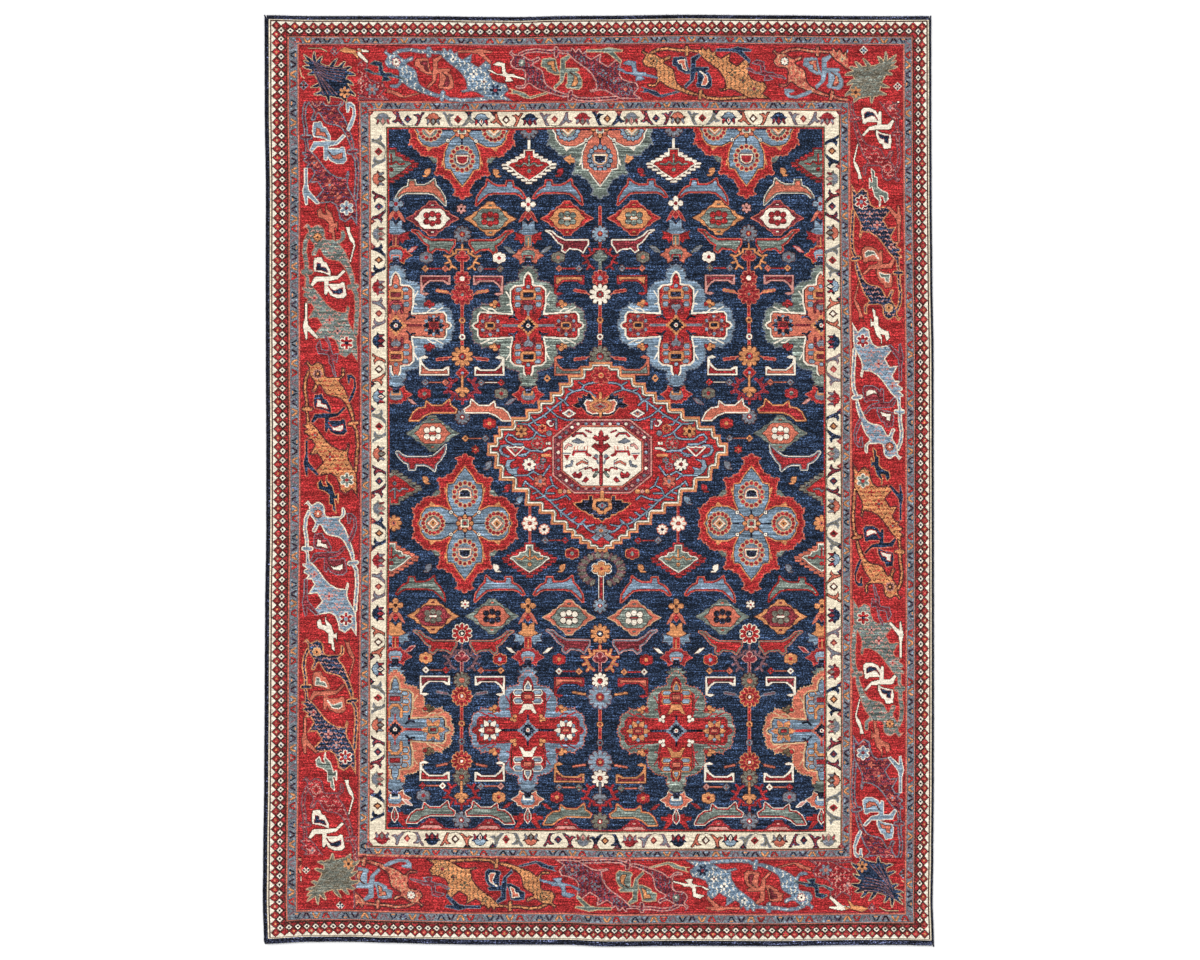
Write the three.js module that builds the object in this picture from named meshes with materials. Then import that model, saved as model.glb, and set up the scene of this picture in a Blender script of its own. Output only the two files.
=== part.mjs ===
// A hand-knotted wool carpet lying flat: the knotted cloth with its pile, and the overcast cord
// along each long side. Millimetres, +X across the wefts, +Y along the warps, +Z up.
// The underside of the cloth is the plane z = 0, and the origin is the middle of the footprint.

import * as THREE from "three";

// Driving dimensions
const WIDTH = 2500; // across, from the outside of one cord to the outside of the other
const LENGTH = 3476; // along, from one end of the cloth to the other
const THICKNESS = 11; // the foundation of warps and wefts with the pile standing on it
const RIM_ROUND = 3; // the pile splays and rounds over by this much along the rim
const CORNER_ROUND = 4; // the cloth's corners are blunted by this much
const CORD_WIDTH = 9;
const CORD_HEIGHT = 10;
const CORD_SIDES = 10;
const TAIL_LENGTH = 14; // the last stretch of a cord, where it thins and splays
const TAIL_TAPER = 0.45; // share of its thickness that it has lost at its cut end
const SEAM_GAP = 0.3; // between a cord and the edge of the cloth
const SIDE_STEPS = 48; // stations along a long side
const END_STEPS = 30; // stations along an end

// How far each long side strays outwards from a straight line. along runs from 0 at the lower
// end to 1 at the upper end.
const SIDE_STRAY = [
  { along: 0.0, left: 5.0, right: 4.0 },
  { along: 0.05, left: 9.4, right: -1.1 },
  { along: 0.09, left: 7.9, right: 1.1 },
  { along: 0.18, left: 4.1, right: 3.4 },
  { along: 0.27, left: 2.2, right: 4.1 },
  { along: 0.36, left: 0.4, right: 4.1 },
  { along: 0.45, left: -3.7, right: 3.7 },
  { along: 0.54, left: -3.7, right: 3.0 },
  { along: 0.63, left: -2.2, right: 2.6 },
  { along: 0.72, left: -1.5, right: -2.2 },
  { along: 0.81, left: -2.2, right: -4.9 },
  { along: 0.9, left: 1.9, right: -6.0 },
  { along: 1.0, left: 2.6, right: -6.4 },
];

// The same for the two ends. across runs from 0 at the left side to 1 at the right side.
const END_STRAY = [
  { across: 0.0, upper: 2.6, lower: -3.4 },
  { across: 0.07, upper: -0.7, lower: -11.6 },
  { across: 0.13, upper: -0.7, lower: -12.0 },
  { across: 0.19, upper: -0.7, lower: -7.5 },
  { across: 0.26, upper: -1.5, lower: -3.4 },
  { across: 0.32, upper: -3.7, lower: -0.7 },
  { across: 0.38, upper: -4.5, lower: -1.0 },
  { across: 0.45, upper: -0.4, lower: -0.4 },
  { across: 0.51, upper: 0.5, lower: 6.0 },
  { across: 0.63, upper: 4.1, lower: 3.7 },
  { across: 0.76, upper: 2.2, lower: 4.9 },
  { across: 0.89, upper: -0.7, lower: 0.7 },
  { across: 0.95, upper: -1.1, lower: 0.4 },
  { across: 1.0, upper: -0.4, lower: 3.0 },
];

// The four cut ends of the cords: how far each stands past the cloth and splays outwards.
const CORD_TAILS = {
  left_lower: { past: 0.5, splay: -2 },
  left_upper: { past: 2, splay: 5 },
  right_lower: { past: 5, splay: 3 },
  right_upper: { past: 2, splay: 3 },
};

// Eased value between the two stations of a table that lie round a place.
function strayAt(table, key, column, place) {
  const above = table.findIndex((station) => station[key] >= place);
  if (above <= 0) return table[0][column];
  const [from, to] = [table[above - 1], table[above]];
  const t = (place - from[key]) / (to[key] - from[key]);
  const eased = t * t * (3 - 2 * t);
  return from[column] + (to[column] - from[column]) * eased;
}

// A place on the carpet from its straight-lined drawing (x, y) to where the cloth really lies:
// the strays of the four edges fade to nothing towards the middle.
function laidOut(x, y) {
  const u = (2 * x) / WIDTH;
  const v = (2 * y) / LENGTH;
  const along = Math.min(Math.max((v + 1) / 2, 0), 1);
  const across = Math.min(Math.max((u + 1) / 2, 0), 1);
  const side = strayAt(SIDE_STRAY, "along", u < 0 ? "left" : "right", along);
  const end = strayAt(END_STRAY, "across", v < 0 ? "lower" : "upper", across);
  return [x + u * side, y + v * end];
}

// A closed body through rings of equal point counts, the first and last ring capped.
function loft(rings, cap) {
  const count = rings[0].length;
  const positions = rings.flat(2);
  const index = [];
  for (let r = 0; r + 1 < rings.length; r++) {
    for (let i = 0; i < count; i++) {
      const [a, b] = [r * count + i, r * count + ((i + 1) % count)];
      index.push(a, b, b + count, a, b + count, a + count);
    }
  }
  const lastRing = (rings.length - 1) * count;
  for (const [a, b, c] of cap) {
    index.push(c, b, a, lastRing + a, lastRing + b, lastRing + c);
  }
  const geometry = new THREE.BufferGeometry();
  geometry.setAttribute("position", new THREE.Float32BufferAttribute(positions, 3));
  geometry.setIndex(index);
  geometry.computeVertexNormals();
  return geometry;
}

// The outline of the knotted cloth inside the cords, drawn in by inset, anticlockwise.
function clothOutline(inset) {
  const halfWidth = WIDTH / 2 - CORD_WIDTH - SEAM_GAP - inset;
  const halfLength = LENGTH / 2 - inset;
  const outline = [];
  const edge = (fromX, fromY, toX, toY, steps) => {
    const blunt = CORNER_ROUND / Math.hypot(toX - fromX, toY - fromY);
    for (let i = 0; i <= steps; i++) {
      const t = Math.min(Math.max(i / steps, blunt), 1 - blunt);
      outline.push(laidOut(fromX + (toX - fromX) * t, fromY + (toY - fromY) * t));
    }
  };
  edge(-halfWidth, -halfLength, halfWidth, -halfLength, END_STEPS);
  edge(halfWidth, -halfLength, halfWidth, halfLength, SIDE_STEPS);
  edge(halfWidth, halfLength, -halfWidth, halfLength, END_STEPS);
  edge(-halfWidth, halfLength, -halfWidth, -halfLength, SIDE_STEPS);
  return outline;
}

// The knotted cloth: flat below, its pile rounding over along the rim.
function clothGeometry() {
  const ring = (inset, z) => clothOutline(inset).map(([x, y]) => [x, y, z]);
  const rings = [
    ring(0, 0),
    ring(0, THICKNESS - RIM_ROUND),
    ring(RIM_ROUND * 0.3, THICKNESS - RIM_ROUND * 0.3),
    ring(RIM_ROUND, THICKNESS),
  ];
  const outline = clothOutline(0).map(([x, y]) => new THREE.Vector2(x, y));
  return loft(rings, THREE.ShapeUtils.triangulateShape(outline, []));
}

// One section of a cord across its run: oval, with a flat underside on the floor.
function cordSection(x, y, scale) {
  const section = [];
  for (let i = 0; i < CORD_SIDES; i++) {
    const turn = ((i + 0.5) / CORD_SIDES) * 2 * Math.PI;
    const across = (Math.sin(turn) * CORD_WIDTH * scale) / 2;
    section.push([x + across, y, (Math.cos(turn) * CORD_HEIGHT * scale) / 2]);
  }
  const lowest = Math.min(...section.map((point) => point[2]));
  return section.map(([px, py, pz]) => [px, py, pz - lowest]);
}

// A cord along one long side, from its lower tail to its upper tail.
function cordGeometry(sideName) {
  const outward = sideName === "left" ? -1 : 1;
  const centre = outward * (WIDTH / 2 - CORD_WIDTH / 2);
  const tailRing = (t, end, { past, splay }) => {
    const [x, y] = laidOut(centre, end * (LENGTH / 2 - TAIL_LENGTH));
    const reach = t * (TAIL_LENGTH + past);
    return cordSection(x + outward * splay * t * t, y + end * reach, 1 - TAIL_TAPER * t);
  };
  const rings = [1, 0.5, 0].map((t) => tailRing(t, -1, CORD_TAILS[sideName + "_lower"]));
  for (let i = 1; i < SIDE_STEPS; i++) {
    const [x, y] = laidOut(centre, (i / SIDE_STEPS - 0.5) * LENGTH);
    rings.push(cordSection(x, y, 1));
  }
  rings.push(...[0, 0.5, 1].map((t) => tailRing(t, 1, CORD_TAILS[sideName + "_upper"])));
  const fan = [];
  for (let i = 1; i + 1 < CORD_SIDES; i++) fan.push([0, i, i + 1]);
  return loft(rings, fan);
}

const knottedWool = new THREE.MeshStandardMaterial({ color: 0x9a2f36, roughness: 0.95, metalness: 0 });
const overcastWool = new THREE.MeshStandardMaterial({ color: 0x1d2b4a, roughness: 0.9, metalness: 0 });

const carpet = new THREE.Group();
const cloth = new THREE.Mesh(clothGeometry(), knottedWool);
cloth.name = "knotted_cloth";
carpet.add(cloth);
for (const sideName of ["left", "right"]) {
  const cord = new THREE.Mesh(cordGeometry(sideName), overcastWool);
  cord.name = "selvedge_" + sideName;
  carpet.add(cord);
}

// The origin is the middle of the footprint.
const middle = new THREE.Box3().setFromObject(carpet).getCenter(new THREE.Vector3());
carpet.position.set(-middle.x, -middle.y, 0);

export default carpet;
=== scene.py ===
import bisect
import math

import bpy
import numpy as np
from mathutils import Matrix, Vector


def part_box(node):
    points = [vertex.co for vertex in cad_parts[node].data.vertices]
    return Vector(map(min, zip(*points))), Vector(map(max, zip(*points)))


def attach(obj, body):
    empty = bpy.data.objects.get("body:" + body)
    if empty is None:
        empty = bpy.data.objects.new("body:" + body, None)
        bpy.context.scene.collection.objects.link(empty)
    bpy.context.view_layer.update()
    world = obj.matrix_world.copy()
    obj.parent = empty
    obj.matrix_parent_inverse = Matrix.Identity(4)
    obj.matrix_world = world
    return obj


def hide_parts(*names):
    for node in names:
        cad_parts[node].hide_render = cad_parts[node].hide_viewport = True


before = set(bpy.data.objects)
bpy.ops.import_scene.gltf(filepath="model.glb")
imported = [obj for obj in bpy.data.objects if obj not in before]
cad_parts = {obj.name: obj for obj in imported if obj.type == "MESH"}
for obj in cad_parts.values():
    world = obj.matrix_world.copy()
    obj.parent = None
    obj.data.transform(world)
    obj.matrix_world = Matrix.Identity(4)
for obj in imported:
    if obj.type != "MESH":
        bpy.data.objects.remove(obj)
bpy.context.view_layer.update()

# The woven foundation. Cotton warps run the length of the rug and thin wefts are beaten across
# them after each row of knots. It lies flat on the floor, and everything else is held by it.
WIDTH = 2.500
LENGTH = 3.476
CORD_WIDTH = 0.009
SEAM_GAP = 0.0003
FOUNDATION_HEIGHT = 0.004
PILE_HEIGHT = 0.011
RIM_HEIGHT = 0.008
RIM_OVERHANG = 0.0004
RIM_BREADTH = 0.0014
RIM_SLOPE = 0.001
EDGE_STATIONS = 64

# How far the edges stray outwards from straight lines, in millimetres: the two long sides from
# the lower end to the upper, then the two ends from left to right.
SIDE_STRAY = {
    "place": [0, .05, .09, .18, .27, .36, .45, .54, .63, .72, .81, .9, 1],
    "left": [5, 9.4, 7.9, 4.1, 2.2, .4, -3.7, -3.7, -2.2, -1.5, -2.2, 1.9, 2.6],
    "right": [4, -1.1, 1.1, 3.4, 4.1, 4.1, 3.7, 3, 2.6, -2.2, -4.9, -6, -6.4],
}
END_STRAY = {
    "place": [0, .07, .13, .19, .26, .32, .38, .45, .51, .63, .76, .89, .95, 1],
    "upper": [2.6, -.7, -.7, -.7, -1.5, -3.7, -4.5, -.4, .5, 4.1, 2.2, -.7, -1.1, -.4],
    "lower": [-3.4, -11.6, -12, -7.5, -3.4, -.7, -1, -.4, 6, 3.7, 4.9, .7, .4, 3],
}


def stray(table, edge, place):
    """Eased value between the two stations round a place, in metres."""
    stations, values = np.array(table["place"], float), np.array(table[edge], float)
    place = np.clip(place, 0, 1)
    after = np.clip(np.searchsorted(stations, place), 1, len(stations) - 1)
    t = (place - stations[after - 1]) / (stations[after] - stations[after - 1])
    eased = t * t * (3 - 2 * t)
    return (values[after - 1] + (values[after] - values[after - 1]) * eased) / 1000


def laid_out(x, y):
    """From the straight-lined drawing, in metres, to where the cloth really lies."""
    x, y = np.asarray(x, float), np.asarray(y, float)
    u, v = 2 * x / WIDTH, 2 * y / LENGTH
    across, along = (u + 1) / 2, (v + 1) / 2
    side = np.where(u < 0, stray(SIDE_STRAY, "left", along), stray(SIDE_STRAY, "right", along))
    end = np.where(v < 0, stray(END_STRAY, "lower", across), stray(END_STRAY, "upper", across))
    return np.stack([x + u * side + middle_x, y + v * end + middle_y], axis=-1)


def cloth_edge(inset):
    """The cloth's outline, drawn in by inset, anticlockwise from the lower left corner."""
    half_x, half_y = WIDTH / 2 - CORD_WIDTH - SEAM_GAP - inset, LENGTH / 2 - inset
    t = np.arange(EDGE_STATIONS) / EDGE_STATIONS * 2 - 1
    still = np.ones(EDGE_STATIONS)
    x = np.concatenate([t * half_x, still * half_x, -t * half_x, still * -half_x])
    y = np.concatenate([still * -half_y, t * half_y, still * half_y, -t * half_y])
    return laid_out(x, y)


# The drawing's middle is moved to where the solid of the cloth was packed.
middle_x = middle_y = 0.0
low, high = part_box("knotted_cloth")
drawn = cloth_edge(0.0)
middle_x = (low.x + high.x - drawn[:, 0].min() - drawn[:, 0].max()) / 2
middle_y = (low.y + high.y - drawn[:, 1].min() - drawn[:, 1].max()) / 2


def make_piece(name, vertices, faces, yarns, yarn_of_face=None, smooth=False):
    """A mesh of the rug, riding with its body, with its yarns as materials."""
    mesh = bpy.data.meshes.new(name)
    if isinstance(faces, np.ndarray):
        mesh.vertices.add(len(vertices))
        mesh.vertices.foreach_set("co", np.asarray(vertices, np.float32).ravel())
        mesh.loops.add(faces.size)
        mesh.loops.foreach_set("vertex_index", faces.astype(np.int32).ravel())
        mesh.polygons.add(len(faces))
        starts = np.arange(0, faces.size, faces.shape[1], dtype=np.int32)
        mesh.polygons.foreach_set("loop_start", starts)
    else:
        mesh.from_pydata([tuple(v) for v in vertices], [], faces)
    for yarn in yarns:
        mesh.materials.append(yarn)
    if yarn_of_face is not None:
        mesh.polygons.foreach_set("material_index", np.asarray(yarn_of_face, np.int32))
    mesh.update(calc_edges=True)
    mesh.validate()
    mesh.polygons.foreach_set("use_smooth", [smooth] * len(mesh.polygons))
    piece = bpy.data.objects.new(name, mesh)
    bpy.context.scene.collection.objects.link(piece)
    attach(piece, "root")
    return piece


def plain_light(colour):
    """A yarn's colour as seen beside white paper becomes the share of light that it gives back,
    the paper itself giving back five sixths."""
    return tuple(0.83 * (c / 12.92 if c <= 0.04045 else ((c + 0.055) / 1.055) ** 2.4)
                 for c in colour) + (1.0,)


UNEVENNESS = 0.12
STREAK_SWING, BAND_SWING, KNOT_DYE_AND_TUFT_SHADE_SWING = 8, 2, 9
STREAK_GRAIN, BAND_GRAIN, KNOT_GRAIN, FUZZ_GRAIN = (14, 240), (0.8, 34), (230, 270), (500, 500)
ROW_PITCH = 0.0025


def yarn_material(name, colour, streaks=1.0, grain=1.0, ribs=0.35):
    """Hand-spun wool. Its dye varies in streaks along the wefts, and its colour varies from knot to
    knot, partly as dye and partly as painted light and shade of the pile tufts, both most in the
    dark yarns; the rows stand out a little from each other under a soft fuzz."""
    material = bpy.data.materials.new(name)
    material.use_nodes = True
    nodes, links = material.node_tree.nodes, material.node_tree.links
    place = nodes.new("ShaderNodeTexCoord").outputs["Object"]
    seed = 3.1 + 0.7 * len(bpy.data.materials)
    uneven = UNEVENNESS / (sum(colour) / 3)

    def feed(node, inputs):
        """Each input is either fed by another node or set to a plain value."""
        for key, value in inputs.items():
            if isinstance(value, bpy.types.NodeSocket):
                links.new(value, node.inputs[key])
            else:
                node.inputs[key].default_value = value
        return node.outputs

    def maths(operation, a, b):
        node = nodes.new("ShaderNodeMath")
        node.operation = operation
        return feed(node, {0: a, 1: b})[0]

    def noise(grain, detail, seed):
        scaled = feed(nodes.new("ShaderNodeMapping"), {
            "Vector": place, "Scale": (*grain, 60), "Location": (seed, seed * 1.7, 0)})
        return feed(nodes.new("ShaderNodeTexNoise"), {
            "Vector": scaled["Vector"], "Scale": 1.0, "Detail": detail})["Fac"]

    def swing(strength, *of_noise):
        return maths("MULTIPLY", maths("ADD", noise(*of_noise), -0.5), strength)

    streak = swing(streaks * uneven * STREAK_SWING, STREAK_GRAIN, 2, seed)
    band = swing(streaks * uneven * BAND_SWING, BAND_GRAIN, 2, seed + 3)
    # From knot to knot: partly dye and partly painted light and shade of the pile tufts.
    spot = swing(grain * uneven * KNOT_DYE_AND_TUFT_SHADE_SWING, KNOT_GRAIN, 0, seed + 5)
    shade = maths("EXPONENT", maths("ADD", maths("ADD", streak, spot), band), 0.0)
    grey = feed(nodes.new("ShaderNodeCombineColor"), {0: shade, 1: shade, 2: shade})
    tint = nodes.new("ShaderNodeMix")
    tint.data_type, tint.blend_type = "RGBA", "MULTIPLY"
    tinted = feed(tint, {"Factor": 1.0, 6: plain_light(colour), 7: grey["Color"]})

    wave = nodes.new("ShaderNodeTexWave")
    wave.wave_type, wave.bands_direction = "BANDS", "Y"
    rows = feed(wave, {
        "Vector": place, "Scale": 0.314 / ROW_PITCH, "Distortion": 2.0, "Detail": 1.0})["Fac"]
    fuzz = maths("MULTIPLY", noise(FUZZ_GRAIN, 2, seed + 9), 0.5)
    height = maths("ADD", maths("MULTIPLY", rows, ribs), fuzz)
    relief = feed(nodes.new("ShaderNodeBump"), {
        "Strength": 0.5, "Distance": 0.0008, "Height": height})
    feed(nodes["Principled BSDF"], {
        "Base Color": tinted[2], "Roughness": 0.95, "Specular IOR Level": 0.08,
        "Sheen Weight": 0.04, "Sheen Roughness": 0.6, "Normal": relief["Normal"]})
    return material


def stacked_rings(rings):
    """One closed body through rings of equal point counts, listed from the underside round the
    edge to the upper face."""
    count = len(rings[0])
    faces = [list(reversed(range(count)))]
    for r in range(len(rings) - 1):
        for i in range(count):
            j = (i + 1) % count
            faces.append([r * count + i, r * count + j, (r + 1) * count + j, (r + 1) * count + i])
    faces.append([(len(rings) - 1) * count + i for i in range(count)])
    return np.concatenate(rings), faces


rings = []
for inset, z in ((0.0, 0.0), (0.0, RIM_HEIGHT - RIM_OVERHANG),
                 (RIM_BREADTH, RIM_HEIGHT - RIM_OVERHANG),
                 (RIM_BREADTH + RIM_SLOPE, FOUNDATION_HEIGHT)):
    edge = cloth_edge(inset)
    rings.append(np.column_stack([edge, np.full(len(edge), z)]))
vertices, faces = stacked_rings(rings)
back = yarn_material("wool_back", (0.50, 0.24, 0.24), streaks=0.6, grain=1.2, ribs=0.6)
sides = yarn_material("wool_sides", (0.110, 0.120, 0.170), streaks=0.5, grain=1.0, ribs=0.0)
foundation = make_piece("foundation", vertices, faces, [back, sides],
                        [0] + [1] * (len(faces) - 2) + [0])
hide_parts("knotted_cloth")

# The dyed yarns. Wool spun by hand and dyed in small lots of madder, indigo, weld, walnut husk
# and their mixtures. Each colour is the one a yarn shows in plain daylight (red, green, blue).
YARNS = {
    "navy": (0.126, 0.172, 0.250),
    "night": (0.110, 0.120, 0.170),
    "indigo": (0.290, 0.370, 0.460),
    "blue": (0.455, 0.530, 0.600),
    "sky": (0.520, 0.590, 0.650),
    "steel": (0.460, 0.475, 0.510),
    "denim": (0.430, 0.452, 0.475),
    "teal": (0.430, 0.465, 0.435),
    "moss": (0.450, 0.435, 0.390),
    "ivory": (0.955, 0.910, 0.835),
    "cream": (0.930, 0.875, 0.775),
    "sand": (0.810, 0.670, 0.520),
    "orange": (0.810, 0.545, 0.365),
    "salmon": (0.770, 0.425, 0.345),
    "pink": (0.810, 0.570, 0.530),
    "madder": (0.620, 0.174, 0.178),
    "crimson": (0.570, 0.170, 0.185),
    "burgundy": (0.470, 0.180, 0.205),
    "brown": (0.270, 0.160, 0.140),
    "olive": (0.370, 0.330, 0.255),
    "mauve": (0.465, 0.330, 0.350),
}
YARN_NAMES = list(YARNS)
(navy, night, indigo, blue, sky, steel, denim, teal, moss, ivory, cream, sand, orange, salmon, pink,
 madder, crimson, burgundy, brown, olive, mauve) = YARN_NAMES

# The cartoon: the squared paper from which the weaver calls the knots. Its squares are
# counted from the middle of the rug, x to the right and y up, and a motif is a list of shapes,
# each a yarn, an outline of points, how far the outline is let out and whether it closes.
HALF_ACROSS = 334.15
HALF_ALONG = 464.6
CORD_SQUARES = 2.486
KNOTS_PER_SQUARE = 1.5
KNOT_COLUMNS = int(2 * (HALF_ACROSS - CORD_SQUARES) * KNOTS_PER_SQUARE)
KNOT_ROWS = int(2 * HALF_ALONG * KNOTS_PER_SQUARE)
COLUMN_X = ((np.arange(KNOT_COLUMNS) + 0.5) / KNOT_COLUMNS - 0.5) * 2 * (HALF_ACROSS - CORD_SQUARES)
ROW_Y = ((np.arange(KNOT_ROWS) + 0.5) / KNOT_ROWS - 0.5) * 2 * HALF_ALONG
knots = np.full((KNOT_ROWS, KNOT_COLUMNS), YARN_NAMES.index(navy), dtype=np.uint8)


def patch(yarn, points, out=0.0):
    """A filled shape, let out by some squares, or taken in where out is negative."""
    return [(yarn, points, out, True)]


def layered(points, *layers):
    """One shape in several yarns, each taken in further than the one before."""
    return [(yarn, points, out, True) for yarn, out in layers]


def line(yarn, width, points):
    return [(yarn, points, width / 2, False)]


def dot(yarn, x, y, radius):
    return [(yarn, [(x, y)], radius, False)]


def rimmed(rim, motif, width=1.0):
    """The motif with one line of another yarn right round its whole outline."""
    return [(rim, points, out + width, closes) for _, points, out, closes in motif] + motif


def inked(motif, width=0.5):
    """The motif with the walnut brown outline that most of them have."""
    return rimmed(brown, motif, width)


def ringed(rim, yarn, points, width=1.0):
    return rimmed(rim, patch(yarn, points), width)


def reshaped(motif, where):
    """The motif with each of its points moved to where(x, y)."""
    return [(yarn, [where(x, y) for x, y in points], out, closes)
            for yarn, points, out, closes in motif]


def shifted(motif, dx, dy):
    return reshaped(motif, lambda x, y: (x + dx, y + dy))


def flipped(motif):
    return reshaped(motif, lambda x, y: (-x, y))


def turned(motif, degrees):
    c, s = math.cos(math.radians(degrees)), math.sin(math.radians(degrees))
    return reshaped(motif, lambda x, y: (x * c - y * s, x * s + y * c))


def both(motif):
    """The motif and its mirror image across the upright line through its middle."""
    return motif + flipped(motif)


def mirrored_outline(half):
    """A closed outline from its right half, listed from the top down."""
    return half + [(-x, y) for x, y in reversed(half)]


def soft(points, closes=True, steps=4):
    """The points joined by a smooth curve that passes through each."""
    count = len(points)
    curve = []
    for i in range(count if closes else count - 1):
        near = [(i + k) % count if closes else min(max(i + k, 0), count - 1) for k in (-1, 0, 1, 2)]
        for s in range(steps):
            t = s / steps
            curve.append(tuple(
                0.5 * (2 * q + (r - p) * t + (2 * p - 5 * q + 4 * r - u) * t * t
                       + (3 * q - p - 3 * r + u) * t ** 3)
                for p, q, r, u in zip(*(points[k] for k in near))))
    if not closes:
        curve.append(points[-1])
    return curve


def block(left, lower, right, upper):
    return [(left, lower), (right, lower), (right, upper), (left, upper)]


def lozenge(half_width, half_height, x=0.0, y=0.0):
    return [(x, y + half_height), (x + half_width, y), (x, y - half_height), (x - half_width, y)]


def knot(motif, x=0.0, y=0.0, turn=0.0, flip=False, size=(1.0, 1.0), within=None, over=None):
    """Ties a motif into the cartoon with its own middle at (x, y), turned anticlockwise. Size
    stretches it across and along itself, and only its part within a rectangle, or over knots of
    one yarn, is tied."""
    left, lower, right, upper = within or (-HALF_ACROSS, -HALF_ALONG, HALF_ACROSS, HALF_ALONG)
    c, s = math.cos(math.radians(turn)), math.sin(math.radians(turn))
    for yarn, points, out, closes in motif:
        p = np.array(points, dtype=float) * size
        if flip:
            p[:, 0] *= -1
        px, py = x + p[:, 0] * c - p[:, 1] * s, y + p[:, 0] * s + p[:, 1] * c
        out *= math.sqrt(size[0] * size[1])
        reach = max(out, 0.0)
        columns = slice(*np.searchsorted(
            COLUMN_X, (max(px.min() - reach, left), min(px.max() + reach, right))))
        rows = slice(*np.searchsorted(
            ROW_Y, (max(py.min() - reach, lower), min(py.max() + reach, upper))))
        gx, gy = COLUMN_X[None, columns], ROW_Y[rows, None]
        if not gx.size or not gy.size:
            continue
        tied = np.zeros((gy.size, gx.size), dtype=bool)
        near = np.full(tied.shape, np.inf)
        for i in range(len(px) if closes else max(len(px) - 1, 1)):
            ax, ay = px[i], py[i]
            bx, by = px[(i + 1) % len(px)], py[(i + 1) % len(px)]
            if closes and ay != by:
                tied ^= ((ay > gy) != (by > gy)) & (gx < (bx - ax) * (gy - ay) / (by - ay) + ax)
            if out:
                length = max((bx - ax) ** 2 + (by - ay) ** 2, 1e-9)
                t = np.clip(((gx - ax) * (bx - ax) + (gy - ay) * (by - ay)) / length, 0, 1)
                near = np.minimum(near, np.hypot(gx - ax - t * (bx - ax), gy - ay - t * (by - ay)))
        if out > 0:
            tied |= near <= out
        elif out < 0:
            tied &= near > -out
        if over:
            tied &= knots[rows, columns] == YARN_NAMES.index(over)
        knots[rows, columns][tied] = YARN_NAMES.index(yarn)


# The borders lie round the field as nested frames. Each row gives a frame's ground yarn and its
# width in squares on the left, right, upper and lower side, from the outside in, as uneven as the
# weaver beat them. A frame is kept as its outer and inner (left, lower, right, upper).
BORDERS = {
    "edge": (night, 4.3, 2.4, 3.8, 5.2),
    "pale line": (cream, 1.4, 1.5, 1.0, 0.6),
    "brown line": (brown, 1.2, 1.1, 1.0, 0.9),
    "diamonds": (ivory, 15.4, 13.0, 14.2, 14.0),
    "dark line": (brown, 1.0, 1.2, 0.7, 1.0),
    "salmon line": (salmon, 1.4, 0.8, 0.7, 1.0),
    "outer buds": (denim, 8.4, 7.2, 6.5, 8.1),
    "apricot line": (salmon, 1.2, 1.0, 0.9, 1.4),
    "wine line": (burgundy, 1.0, 1.0, 1.4, 1.2),
    "main": (madder, 57.8, 52.0, 54.4, 52.2),
    "inner wine line": (burgundy, 1.2, 1.0, 1.0, 1.4),
    "inner apricot line": (salmon, 1.4, 1.6, 0.8, 1.4),
    "inner buds": (denim, 8.4, 7.2, 7.2, 6.8),
    "inner salmon line": (salmon, 1.0, 1.0, 0.9, 1.0),
    "olive line": (olive, 1.0, 1.2, 0.9, 1.2),
    "flowers": (cream, 15.0, 14.0, 15.6, 16.0),
    "inner olive line": (olive, 1.3, 1.2, 1.3, 1.5),
    "red line": (madder, 1.4, 1.2, 1.2, 1.4),
}
FRAMES = {}
inner = (-HALF_ACROSS, -HALF_ALONG, HALF_ACROSS, HALF_ALONG)
for name, (yarn, left, right, upper, lower) in BORDERS.items():
    outer = inner
    knot(patch(yarn, block(*outer)))
    inner = (outer[0] + left, outer[1] + lower, outer[2] - right, outer[3] - upper)
    FRAMES[name] = (outer, inner)
FIELD = inner
knot(patch(navy, block(*FIELD)))


def four_sides(name):
    """The upper, right, lower and left side of a border: where its middle line starts and which
    way it runs, its length, its width and the turn that brings a motif with its foot on the outer
    edge to point inwards."""
    (ol, ob, orr, ot), (il, ib, ir, it) = FRAMES[name]
    left, lower, right, upper = (ol + il) / 2, (ob + ib) / 2, (orr + ir) / 2, (ot + it) / 2
    return [((left, upper), (1, 0), right - left, ot - it, 180.0),
            ((right, upper), (0, -1), upper - lower, orr - ir, 90.0),
            ((right, lower), (-1, 0), right - left, ib - ob, 0.0),
            ((left, lower), (0, 1), upper - lower, il - ol, -90.0)]


def along_side(side, distance):
    """The point that lies some way along a side's middle line, running clockwise."""
    (x, y), (dx, dy) = side[:2]
    return x + dx * distance, y + dy * distance


# The diamond guard. Two rows of diamonds set into each other: red ones outside with a pale
# heart, ivory ones inside with a dark heart, all outlined in walnut brown.
RED_DIAMONDS = (71, 99, 74, 104)
RED_HEARTS = (sand, salmon, orange, salmon)
SPACING_WANDER = 2.2


def wander(t, seed):
    """A slow drift of the spacing, as of a weaver counting by eye, nothing at both ends."""
    return SPACING_WANDER * math.sin(math.pi * t) * math.sin(5.1 * math.pi * t + seed)


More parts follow.
